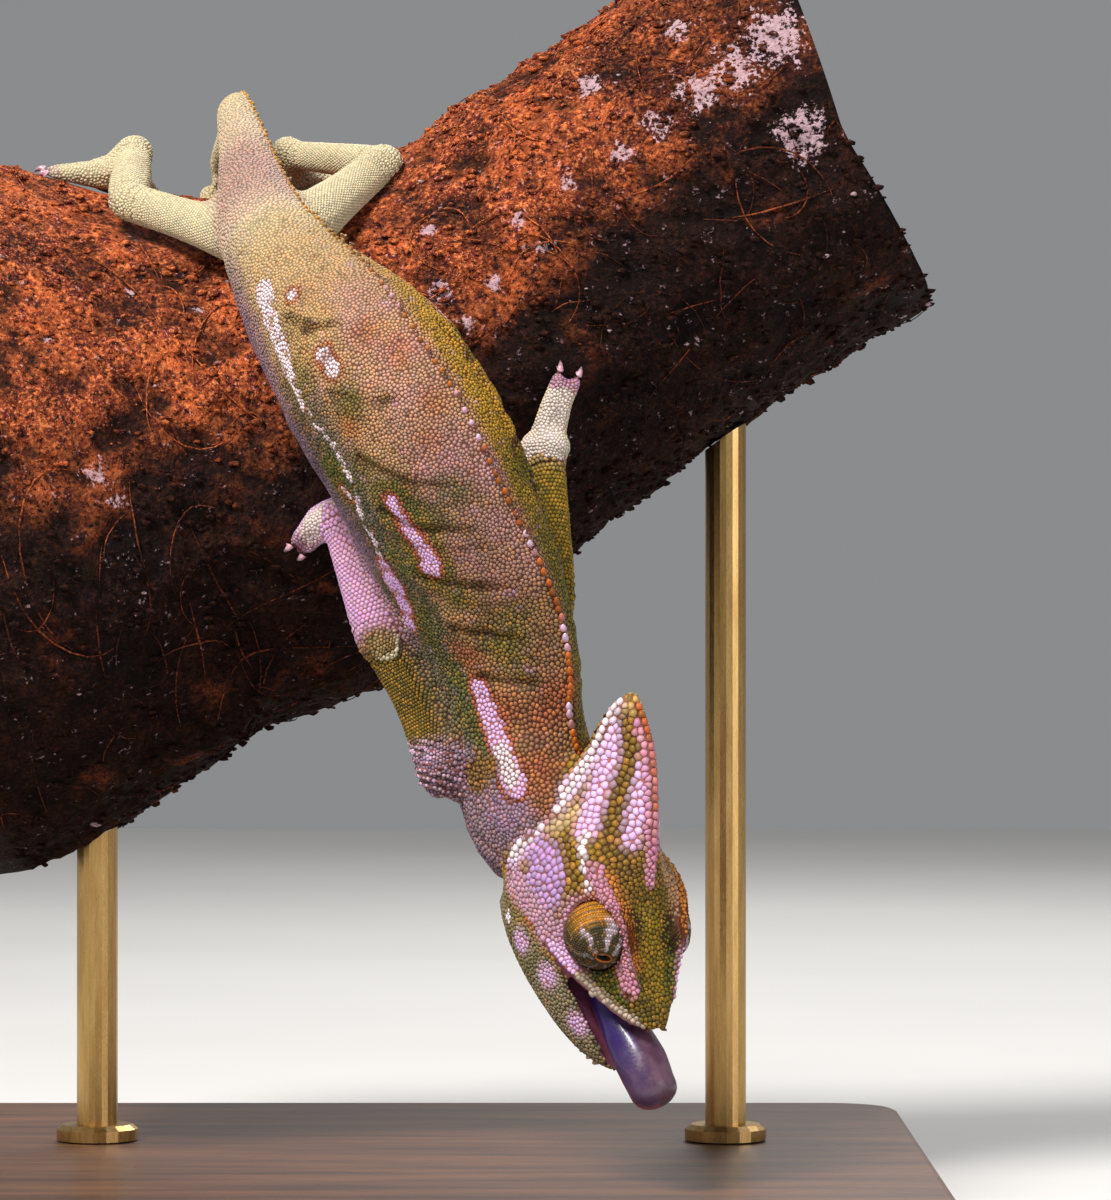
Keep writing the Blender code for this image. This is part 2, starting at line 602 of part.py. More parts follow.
def make_eye(side, frame):
    """An eye turret: a scaly cone of fused lids, with a small round pupil opening at its tip."""
    gaze = EYE_GAZE["left" if side > 0 else "right"].normalized()
    place = Vector((EYE_PLACE.x, EYE_PLACE.y * side, EYE_PLACE.z))
    across = gaze.cross(Vector((0, 0, 1))).normalized()
    up = across.cross(gaze)
    rings = [
        egg_ring(place + gaze * EYE_RADIUS * h, across, up, *(EYE_RADIUS * r,) * 3, 20)
        for h, r in TURRET_PROFILE
    ]
    lip = PUPIL_RADIUS
    rings.append(egg_ring(place + gaze * EYE_RADIUS * 0.97, across, up, lip, lip, lip, 20))
    rings.append(egg_ring(place + gaze * EYE_RADIUS * 0.86, across, up, *(lip * 0.85,) * 3, 20))
    name = "eye_left" if side > 0 else "eye_right"
    return object_from(name, loft(rings), "eye", frame)


def make_lower_jaw(frame):
    """The lower jaw, let down from the corners of the mouth, with the chin's small spines."""
    rings = []
    for x in JAW_STATIONS:
        wide, lip, chin = outline(JAW_WIDTH, x), outline(JAW_LIP, x), outline(JAW_CHIN, x)
        deep = lip - chin
        trough = JAW_TROUGH * min(1, wide / 6)
        half = (
            (0, lip - trough), (wide * 0.6, lip - trough * 0.85), (wide * 0.86, lip - 0.15), (wide, lip - 0.1),
            (wide + 0.25, lip - min(1.3, deep * 0.3)), (wide * 0.97, lip - deep * 0.45),
            (wide * 0.8, lip - deep * 0.74), (wide * 0.45, lip - deep * 0.94), (0, chin),
        )
        rings.append(both_sides([Vector((x, y, z)) * MM for y, z in half]))
    tip = Vector((JAW_TIP[0], 0, JAW_TIP[1])) * MM
    jaw = object_from("lower_jaw", loft(rings, (None, tip)), "head", frame)
    spines = []
    for k in range(CHIN_SPINE_COUNT):
        x = 2.5 + 26 * k / (CHIN_SPINE_COUNT - 1)
        under = outline(JAW_CHIN, x) * MM
        size = CHIN_SPINE_HEIGHT * (1.2 - 0.5 * k / CHIN_SPINE_COUNT)
        root = Vector((x * MM, 0, under + 1.0 * MM))
        tip = Vector((x * MM - size * 0.5, 0, under - size))
        spine = cone(root, tip, 1.3 * MM, 0.8 * MM, Vector((1, 0, 0)))
        spines.append(object_from("spine", spine, parent=frame))
    combine(jaw, spines, "UNION")
    return jaw


def make_tongue(frame):
    """The tongue's round pad, pushed out between the jaws."""
    rows = [(x * MM, z * MM, r * MM) for x, z, r in TONGUE]
    across, up = Vector((0, 1, 0)), Vector((0.24, 0, 0.97))
    rings = []
    for x, z, r in smooth_through(rows, [row[0] for row in rows], 10):
        rings.append(egg_ring(Vector((x, 0, z)), across, up, r * 0.94, r, r, 14))
    last_x, last_z, last_r = rows[-1]
    for turn in (60, 30):
        reach = last_r * 0.85 * math.cos(math.radians(turn))
        small = last_r * math.sin(math.radians(turn))
        centre = Vector((last_x + reach, 0, last_z - reach * 0.25))
        rings.append(egg_ring(centre, across, up, small, small, small, 14))
    tip = Vector((last_x + last_r * 0.86, 0, last_z - last_r * 0.22))
    return object_from("tongue", loft(rings, (None, tip)), "tongue", frame)


def on_bark(tree, point, height):
    """The point moved to the given height above the bark."""
    place, normal, _, _ = tree.find_nearest(point)
    out = (place - Vector((place.x, BRANCH_DEPTH, branch_station(place.x)[0]))).normalized()
    return place + (normal + out).normalized() * height


def make_toe(tree, palm, way, across, aside, length, thick, taper):
    """One toe over the bark, and its claw."""
    places = []
    for share in TOE_SHARES:
        radius = thick * (1 - taper * share)
        spot = palm + way * length * share + across * aside * (0.75 + 0.4 * share)
        places.append((on_bark(tree, spot, radius * 0.95), radius * (0.85 if share == 1 else 1)))
    rings = []
    for i, (place, radius) in enumerate(places):
        before, after = places[max(0, i - 1)][0], places[min(len(places) - 1, i + 1)][0]
        up = across.cross((after - before).normalized()).normalized()
        rings.append(egg_ring(place, across, up, radius, radius, radius, 8))
    last, radius = places[-1]
    along = (last - places[-2][0]).normalized()
    toe = object_from("toe", loft(rings, (None, last + along * radius * 0.55)))
    tip = on_bark(tree, last + along * (radius + CLAW_LENGTH), 0.55 * MM)
    claw = object_from("claw", cone(last + along * radius * 0.1, tip, CLAW_RADIUS, CLAW_RADIUS, across, 5))
    return [toe, claw]


def make_foot(name, ankle, palm, bundles, tree):
    """A grasping foot: two opposed bundles of toes, fused like mittens, each toe with a claw."""
    thick, palm_radius = TOE_RADIUS[name], PALM_RADIUS[name]
    pieces = []
    out = (on_bark(tree, palm, 4 * MM) - on_bark(tree, palm, 0)).normalized()
    palm = on_bark(tree, palm, palm_radius * 0.9)
    for way, toes, length in bundles:
        way = Vector(way)
        way = (way - out * way.dot(out)).normalized()
        across = out.cross(way)
        for toe in range(toes):
            place = toe - (toes - 1) / 2
            reach = length * MM * (1 - 0.1 * abs(place))
            aside = place * TOE_SPREAD * thick
            pieces += make_toe(tree, palm, way, across, aside, reach, thick, TOE_TAPER[name])
    foot = object_from(name, limb(ankle, palm, (palm_radius * 0.95,) * 3, 12, 0.85), "limb")
    combine(foot, pieces, "UNION")
    return foot


def make_leg(name, leg, body, branch, tree):
    """Upper limb, lower limb and foot, each cut clear of what it grows from."""
    joints = [Vector(j) * MM for j in leg["joints"]]
    palm = Vector(leg["palm"]) * MM
    radii = {part: [r * MM for r in leg[part]] for part in ("upper", "lower")}
    upper = object_from(f"{name}_upper", limb(joints[0], joints[1], radii["upper"], 14), "limb")
    lower = object_from(f"{name}_lower", limb(joints[1], joints[2], radii["lower"], 12), "limb")
    foot = make_foot(leg["foot"], joints[2], palm, leg["bundles"], tree)
    clear_of(upper, *body, branch)
    clear_of(lower, upper, *body, branch)
    clear_of(foot, lower, *body, branch)
    return upper, lower, foot


def main():
    for old in list(bpy.data.objects):
        bpy.data.objects.remove(old)
    make_base()
    branch = make_branch()
    for side, x in ROD_PLACES.items():
        make_rod(side, x, branch)
    spine = Spine()
    body = make_body(spine)
    frame = make_head_frame()
    head = make_skull(frame)
    jaw = make_lower_jaw(frame)
    tongue = make_tongue(frame)
    for side in (1, -1):
        eye = make_eye(side, frame)
        clear_of(head, eye)
    clear_of(jaw, head)
    clear_of(tongue, head, jaw)
    clear_of(body["neck"], head, jaw)
    for node in ("torso", "tail_base", "tail_middle", "tail_tip"):
        clear_of(body[node], branch)
    tree = BVHTree.FromObject(branch, bpy.context.evaluated_depsgraph_get())
    for name, leg in LEGS.items():
        near = ("neck", "torso") if name.startswith("foreleg") else ("torso", "tail_base", "tail_middle")
        make_leg(name, leg, [body[n] for n in near], branch, tree)


main()
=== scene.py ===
import math
import random

import bmesh
import bpy
import numpy as np
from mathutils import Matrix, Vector, noise
from mathutils.bvhtree import BVHTree
from mathutils.kdtree import KDTree


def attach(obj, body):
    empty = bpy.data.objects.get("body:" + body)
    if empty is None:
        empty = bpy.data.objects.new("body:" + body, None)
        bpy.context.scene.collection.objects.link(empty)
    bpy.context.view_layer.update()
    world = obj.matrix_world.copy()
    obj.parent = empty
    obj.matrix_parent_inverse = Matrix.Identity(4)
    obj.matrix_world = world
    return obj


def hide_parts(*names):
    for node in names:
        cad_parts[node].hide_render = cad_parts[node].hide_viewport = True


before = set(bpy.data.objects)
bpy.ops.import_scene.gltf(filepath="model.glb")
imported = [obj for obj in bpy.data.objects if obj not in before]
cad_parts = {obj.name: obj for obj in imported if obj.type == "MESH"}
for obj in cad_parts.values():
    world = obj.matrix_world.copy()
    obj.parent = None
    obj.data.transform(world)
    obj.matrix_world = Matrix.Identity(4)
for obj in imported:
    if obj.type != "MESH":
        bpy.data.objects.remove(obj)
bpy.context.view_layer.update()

# Looks of a life-size veiled chameleon, climbing head down over a branch on a display stand.
# Lengths are in metres. A place on the body is a length along the spine from the skull in
# millimetres, and an angle round it in degrees: 0 on the back, negative on the right side.

MM = 0.001
random.seed(7)
dice = np.random.default_rng(7)

# Skin and coat
SKIN_GROWTH = 0.6 * MM  # the solids are swollen this much, so that they melt into one
SKIN_VOXEL = 0.6 * MM
COAT_DEPTH = 0.35 * MM  # from the solids' surface in to the skin
SMOOTH_ROUNDS = 5
JOINT_ROUNDS = 24  # further smoothing where one part grows from another
SCALE_SINK = 0.2 * MM
TRIANGLES_IN_PIECE = 190000
MOUTH_BARE = 0.35  # the share of mouth lining over which no scale grows

# Spine as in the solids: place, way the back faces, reach to the back, the belly and each flank
SPINE = (
    ((38.5, -58.3, 70.9), (0.44, -0.46, 0.77), 9, 12, 7),
    ((34.9, -55.0, 77.4), (0.47, -0.52, 0.70), 11, 17.6, 9.0),
    ((30.9, -50.5, 84.0), (0.55, -0.65, 0.50), 13, 20.2, 10.8),
    ((27.4, -47.0, 92.5), (0.60, -0.76, 0.20), 16, 18.5, 10.4),
    ((25.0, -45.5, 101.8), (0.60, -0.79, 0.17), 19, 19.5, 10.8),
    ((22.1, -46.0, 111.9), (0.56, -0.81, 0.20), 21.5, 21.5, 11.7),
    ((18.1, -47.8, 122.9), (0.48, -0.86, 0.22), 23.5, 23.5, 13.6),
    ((13.0, -50.0, 135.1), (0.42, -0.89, 0.20), 24.5, 24.5, 15.5),
    ((6.9, -51.0, 147.6), (0.42, -0.88, 0.22), 24, 24, 16.3),
    ((-1.5, -48.5, 160.0), (0.46, -0.83, 0.30), 21, 21, 16),
    ((-11.5, -41.0, 172.5), (0.62, -0.60, 0.50), 13.8, 15, 11.5),
    ((-20.3, -29.0, 186.4), (0.74, -0.48, 0.47), 9.4, 10, 8.2),
    ((-23.8, -18.0, 196.0), (0.87, -0.40, 0.28), 6.9, 7, 5.6),
    ((-26.0, -6.0, 204.2), (0.80, -0.35, 0.48), 5.4, 5.2, 4.3),
    ((-28.4, 10.0, 212.0), (0.42, -0.05, 0.91), 4.7, 4.5, 3.8),
    ((-29.6, 29.0, 212.6), (0.14, 0.05, 0.99), 4.2, 4.1, 3.6),
    ((-31.6, 50.0, 211.0), (0.05, 0.20, 0.98), 3.8, 3.7, 3.5),
)
CURL_CENTRE = np.array((-34.5, 71, 192.5)) * MM
CURL_START, CURL_TURNS = math.radians(85), 1.8
PLACES_IN_A_TURN = 12
CURL_RADII = (15.6 * MM, 8.6 * MM, 3.9 * MM)
CURL_DRIFT = -6 * MM
TAIL_TIP_RADIUS, TAIL_RADIUS_AT_CURL = 0.9 * MM, 3.5 * MM
TORSO_END = 137 * MM

# Head frame: x forward, y left, z up, from midway between the corners of the mouth
HEAD_PLACE = np.array((32.2, -51.8, 62.8)) * MM
HEAD_FORWARD = np.array((0.54, -0.565, -0.624))
HEAD_LEFT = np.array((0.72, 0.69, 0.0))
JAW_CHIN = ((-6, -6.5), (0, -8.8), (6, -11.2), (12, -13), (19, -14.2), (25, -14.2), (29, -13.4), (32.5, -12))
JAW_WIDTH = ((-6, 6.5), (0, 9), (10, 9.3), (18, 7.9), (24, 6.2), (29, 4), (32.5, 1.6))
EYE_PLACE = np.array((19, 7.1, 9.7))
EYE_RADIUS = 6.3
EYE_GAZE = {"left": np.array((0.5, 0.84, -0.2)), "right": np.array((0.89, -0.44, -0.12))}
NOSTRIL = np.array((30.4, 5.9, 4.6))
TONGUE = ((9, -0.8, 1.5), (16, -1.8, 2.6), (23, -3.1, 3.5), (30, -4.8, 4.2), (36, -6.2, 4.9), (41, -7.8, 4.5))

# Limbs: the joints and radii of each length, and each foot's toes
LIMBS = {
    "foreleg_right_upper": ((13.2, -44.6, 86.8), (1.3, -42.9, 110.2), 4.1),
    "foreleg_right_lower": ((1.3, -42.9, 110.2), (-7.6, -32.5, 133.8), 3.7),
    "foreleg_left_upper": ((31.6, -35.0, 92.8), (33.9, -31.0, 118.5), 4.1),
    "foreleg_left_lower": ((33.9, -31.0, 118.5), (32.0, -20.5, 145.5), 3.9),
    "hindleg_right_upper": ((-22.0, -26.5, 184.5), (-47.6, -10.5, 193.6), 4.8),
    "hindleg_right_lower": ((-47.6, -10.5, 193.6), (-48.2, 12.0, 204.4), 4.1),
    "hindleg_left_upper": ((-14.0, -24.0, 187.5), (0.9, -3.0, 201.5), 4.9),
    "hindleg_left_lower": ((0.9, -3.0, 201.5), (-18.4, 17.5, 205.0), 3.7),
}
FEET = {
    "forefoot_right": ((-9.6, -28.5, 134.0), (((-0.6, 0, -0.8), 2, 7.5), ((0.85, 0, -0.3), 3, 8.5))),
    "forefoot_left": ((30.8, -15.0, 150.0), (((0.22, 0, 0.975), 2, 14.5), ((-0.45, 0, -0.9), 3, 9))),
    "hindfoot_right": ((-51.5, 13.0, 200.0), (((-1.0, -0.25, 0), 2, 13.5), ((0.3, 1.0, 0), 3, 12))),
    "hindfoot_left": ((-19.5, 21.5, 200.5), (((0.5, 1.0, 0), 3, 13), ((-1.0, 0.6, 0), 2, 12))),
}
TOE_RADIUS = {"forefoot_right": 2.5, "forefoot_left": 2.9, "hindfoot_right": 4.0, "hindfoot_left": 2.9}
TOE_TAPER = {"forefoot_right": 0.4, "forefoot_left": 0.4, "hindfoot_right": 0.66, "hindfoot_left": 0.4}
PALM_RADIUS = {"forefoot_right": 3.7, "forefoot_left": 4.6, "hindfoot_right": 4.5, "hindfoot_left": 4.4}
CLAW_LENGTH, CLAW_RADIUS = 1.7 * MM, 0.8 * MM

# Branch as in the solids
BRANCH_DEPTH = 18 * MM
BRANCH_HEIGHT = (
    (-82, 134.5), (-65, 137.5), (-36, 143.5), (-16, 147.5), (3, 157), (23, 170), (41, 182), (86, 211),
)
BRANCH_RADIUS = ((-82, 70), (-65, 66.5), (-36, 53.5), (-16, 49), (3, 45), (23, 42), (41, 41.5), (86, 41))
BARK_LUMP, BARK_LUMP_SIZE = 1.6 * MM, 22 * MM
KNOB_PLACE, KNOB_REACH, KNOB_RISE = Vector((-30, -10, 98)) * MM, 20 * MM, 5 * MM

TAIL_NODES = ("tail_base", "tail_middle", "tail_tip")
BODY_NODES = ("neck", "torso", *TAIL_NODES)
FLESH = ("head", "lower_jaw", *BODY_NODES, *LIMBS, *FEET)


def unit(vectors):
    """Vectors made one long, also a whole table of them."""
    return vectors / np.maximum(np.linalg.norm(vectors, axis=-1, keepdims=True), 1e-12)


def sizes_of(vectors):
    """The length of each row of a table."""
    return np.linalg.norm(vectors, axis=1)


def within(values):
    """Values held between 0 and 1."""
    return np.clip(values, 0, 1)


def numbers(nodes):
    """Where the named solids stand in the list of flesh."""
    return [FLESH.index(node) for node in nodes]


def folded(places):
    """Places in the head's frame, with its left side folded onto the right."""
    return np.column_stack((places[:, 0], abs(places[:, 1]), places[:, 2]))


def one_value(values):
    """A table of three numbers for each point, of which only the first is used."""
    return np.column_stack((values, values * 0, values * 0))


def turns_of(sides):
    """Evenly spaced angles round a circle."""
    return 2 * math.pi * np.arange(sides) / sides


def circle(sides):
    """The cosine and sine of each of those angles."""
    turn = turns_of(sides)
    return np.stack((np.cos(turn), np.sin(turn)), axis=1)


def lengths_along(line):
    """The length from a line's start to each of its places."""
    return np.concatenate(([0], np.cumsum(sizes_of(np.diff(line, axis=0)))))


def read_along(line, lengths, at):
    """Places on a line at some lengths from its start."""
    return np.stack([np.interp(at, lengths, line[:, k]) for k in range(3)], axis=1)


def smooth_through(rows, places, count):
    """Rows of numbers read at even steps along a smooth curve through them."""
    rows, places = np.asarray(rows, float), np.asarray(places, float)
    slopes = np.empty_like(rows)
    slopes[1:-1] = (rows[2:] - rows[:-2]) / (places[2:] - places[:-2])[:, None]
    slopes[0] = (rows[1] - rows[0]) / (places[1] - places[0])
    slopes[-1] = (rows[-1] - rows[-2]) / (places[-1] - places[-2])
    s = np.linspace(places[0], places[-1], count)
    i = np.clip(np.searchsorted(places, s, side="right") - 1, 0, len(places) - 2)
    gap = (places[i + 1] - places[i])[:, None]
    t = (s - places[i])[:, None] / gap
    start = (2 * t**3 - 3 * t**2 + 1) * rows[i] + (t**3 - 2 * t**2 + t) * gap * slopes[i]
    return start + (3 * t**2 - 2 * t**3) * rows[i + 1] + (t**3 - t**2) * gap * slopes[i + 1]


def outline(pairs, place):
    """An outline's value at one or many distances, with straight runs between its pairs."""
    return np.interp(place, [p for p, _ in pairs], [v for _, v in pairs])


def tree_of(points):
    tree = KDTree(len(points))
    for i, place in enumerate(points.tolist()):
        tree.insert(place, i)
    tree.balance()
    return tree


def nearest(tree, points):
    """For each point the number of the nearest one in the tree."""
    return np.array([tree.find(place)[1] for place in points.tolist()], dtype=int)


def fade(distance, reach, soft):
    """1 up to reach, falling to 0 over soft."""
    t = within(1 - (distance - reach) / soft)
    return t * t * (3 - 2 * t)


def from_line(points, line):
    """Distance of each point from a line through places."""
    least = np.full(len(points), np.inf)
    for a, b in zip(line, line[1:]):
        along = b - a
        t = within((points - a) @ along / max(along @ along, 1e-12))
        least = np.minimum(least, sizes_of(points - a - t[:, None] * along))
    return least


def mottle(points, size, seed=0.0):
    """Smooth noise from -1 to 1 with lumps of that size."""
    shift = Vector((seed * 3.1, seed * 1.7, seed * 2.3))
    return np.array([noise.noise(Vector(place) / size + shift) for place in points.tolist()])


def read(items, key, width=1, kind=float):
    """A table of one property of a mesh's vertices, edges, corners or faces."""
    table = np.empty(len(items) * width, dtype=kind)
    items.foreach_get(key, table)
    return table if width == 1 else table.reshape(-1, width)


def write(items, key, values):
    """Sets one property of a mesh's items from a table."""
    items.foreach_set(key, np.ravel(values).astype(np.float32))


def corners_of(mesh):
    """The point at each corner of the faces."""
    return read(mesh.loops, "vertex_index", 1, np.int32)


def mesh_from(name, points, *faces):
    """A smooth mesh from points and tables of faces, each table with faces of one size."""
    mesh = bpy.data.meshes.new(name)
    mesh.vertices.add(len(points))
    write(mesh.vertices, "co", points)
    corners = np.concatenate([table.ravel() for table in faces]).astype(np.int32)
    sizes = np.concatenate([np.full(len(table), table.shape[1]) for table in faces])
    mesh.loops.add(len(corners))
    mesh.loops.foreach_set("vertex_index", corners)
    mesh.polygons.add(len(sizes))
    mesh.polygons.foreach_set("loop_start", (np.cumsum(sizes) - sizes).astype(np.int32))
    mesh.update(calc_edges=True)
    mesh.validate()
    mesh.shade_smooth()
    return mesh


def add_object(name, data):
    """A new object in the scene."""
    item = bpy.data.objects.new(name, data)
    bpy.context.scene.collection.objects.link(item)
    return item


def add_piece(name, mesh, material, slot, *nodes):
    """An object that rides on the model, takes a material and may stand for solids, which it hides; the slot
    is not used.
    """
    piece = add_object(name, mesh)
    mesh.materials.append(material)
    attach(piece, "root")
    if nodes:
        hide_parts(*nodes)


def note(mesh, name, values):
    """Keeps a table of three numbers for each point under a name that materials read."""
    write(mesh.attributes.new(name, "FLOAT_VECTOR", "POINT").data, "vector", values)


def grid_faces(rows, columns):
    """Faces of a grid of points, row after row, whose columns close on themselves."""
    row, column = np.meshgrid(np.arange(rows - 1), np.arange(columns), indexing="ij")
    here, beside = row * columns + column, row * columns + (column + 1) % columns
    return np.stack((here, beside, beside + columns, here + columns), axis=-1).reshape(-1, 4)


def fan(ring, tip):
    """Triangles from a ring of points to one tip."""
    return np.stack((ring, np.roll(ring, -1), np.full(len(ring), tip)), axis=1)


class Spine:
    """The body's middle line, read at even steps from the skull to the tip of the tail."""

    STEP = 0.5 * MM

    def __init__(self):
        rows = [(*(v * MM for v in place), *back, *(v * MM for v in reach)) for place, back, *reach in SPINE]
        outer, second, tip = CURL_RADII
        steps = round(CURL_TURNS * PLACES_IN_A_TURN)
        for k in range(steps + 1):
            turns = CURL_TURNS * k / steps
            radius = outer + (second - outer) * turns
            if turns >= 1:
                radius = second + (tip - second) * (turns - 1) / (CURL_TURNS - 1)
            angle = CURL_START - 2 * math.pi * turns
            out = np.array((0, math.cos(angle), math.sin(angle)))
            place = CURL_CENTRE + out * radius + np.array((CURL_DRIFT * turns / CURL_TURNS, 0, 0))
            thick = TAIL_RADIUS_AT_CURL + (TAIL_TIP_RADIUS - TAIL_RADIUS_AT_CURL) * turns / CURL_TURNS
            rows.append((*place, *out, thick * 1.08, thick * 1.05, thick))
        rows = np.array(rows)
        places = lengths_along(rows[:, :3])
        self.length = places[-1]
        table = smooth_through(rows, places, round(self.length / self.STEP) + 1)
        self.step = self.length / (len(table) - 1)
        self.centre, self.reach = table[:, :3], table[:, 6:]
        index = np.arange(len(table))
        before, after = np.maximum(index - 2, 0), np.minimum(index + 2, len(table) - 1)
        self.forward = unit(self.centre[before] - self.centre[after])
        across = (table[:, 3:6] * self.forward).sum(axis=1, keepdims=True)
        self.up = unit(table[:, 3:6] - self.forward * across)
        self.left = np.cross(self.up, self.forward)
        self.tree = tree_of(self.centre)

    def row(self, s):
        return min(max(round(s / self.step), 0), len(self.centre) - 1)

    def at(self, s, angle):
        """The place on the body's surface at a length in millimetres and an angle in degrees."""
        i = self.row(s * MM)
        turn = math.radians(angle)
        back, belly, side = self.reach[i]
        rise = back if math.cos(turn) > 0 else belly
        radius = 1 / math.hypot(math.sin(turn) / side, math.cos(turn) / rise)
        way = self.left[i] * math.sin(turn) + self.up[i] * math.cos(turn)
        return self.centre[i] + way * radius

    def line(self, places, mirrored=False):
        """Surface places for a list of lengths and angles."""
        sign = -1 if mirrored else 1
        return [self.at(s, angle * sign) for s, angle in places]

    def read(self, points):
        """Length along the spine and angle round it for each point."""
        i = nearest(self.tree, points)
        away = points - self.centre[i]
        angle = np.arctan2((away * self.left[i]).sum(axis=1), (away * self.up[i]).sum(axis=1))
        return i * self.step, angle


class Head:
    """The head's frame, to go between its own millimetres and the model's metres."""

    def __init__(self):
        forward = unit(HEAD_FORWARD)
        left = unit(HEAD_LEFT - forward * (HEAD_LEFT @ forward))
        self.axes = np.stack((forward, left, np.cross(forward, left)))

    def out(self, places):
        return HEAD_PLACE + np.asarray(places, float) @ self.axes * MM

    def into(self, points):
        return (points - HEAD_PLACE) @ self.axes.T / MM

    def turned(self, ways):
        return np.asarray(ways, float) @ self.axes


def one_surface(mesh):
    """Keeps only the largest connected surface of a mesh."""
    bm = bmesh.new()
    bm.from_mesh(mesh)
    left, shells = set(bm.verts), []
    while left:
        todo, shell = [left.pop()], []
        while todo:
            vertex = todo.pop()
            shell.append(vertex)
            for edge in vertex.link_edges:
                other = edge.other_vert(vertex)
                if other in left:
                    left.discard(other)
                    todo.append(other)
        shells.append(shell)
    shells.sort(key=len)
    bmesh.ops.delete(bm, geom=[v for shell in shells[:-1] for v in shell], context="VERTS")
    bm.to_mesh(mesh)
    bm.free()


def melted_flesh():
    """All solids of flesh swollen until they touch and melted into one fine mesh."""
    bm = bmesh.new()
    for node in FLESH:
        bm.from_mesh(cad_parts[node].data)
    bmesh.ops.remove_doubles(bm, verts=bm.verts, dist=0.002 * MM)
    bm.normal_update()
    for vertex in bm.verts:
        vertex.co += vertex.normal * (SKIN_GROWTH * min(vertex.calc_shell_factor(), 1.3))
    mesh = bpy.data.meshes.new("flesh")
    bm.to_mesh(mesh)
    bm.free()
    lump = add_object("flesh", mesh)
    remesh = lump.modifiers.new("melt", "REMESH")
    remesh.mode, remesh.voxel_size = "VOXEL", SKIN_VOXEL
    graph = bpy.context.evaluated_depsgraph_get()
    graph.update()
    skin = bpy.data.meshes.new_from_object(lump.evaluated_get(graph))
    bpy.data.objects.remove(lump)
    one_surface(skin)
    skin.name = "skin"
    return skin


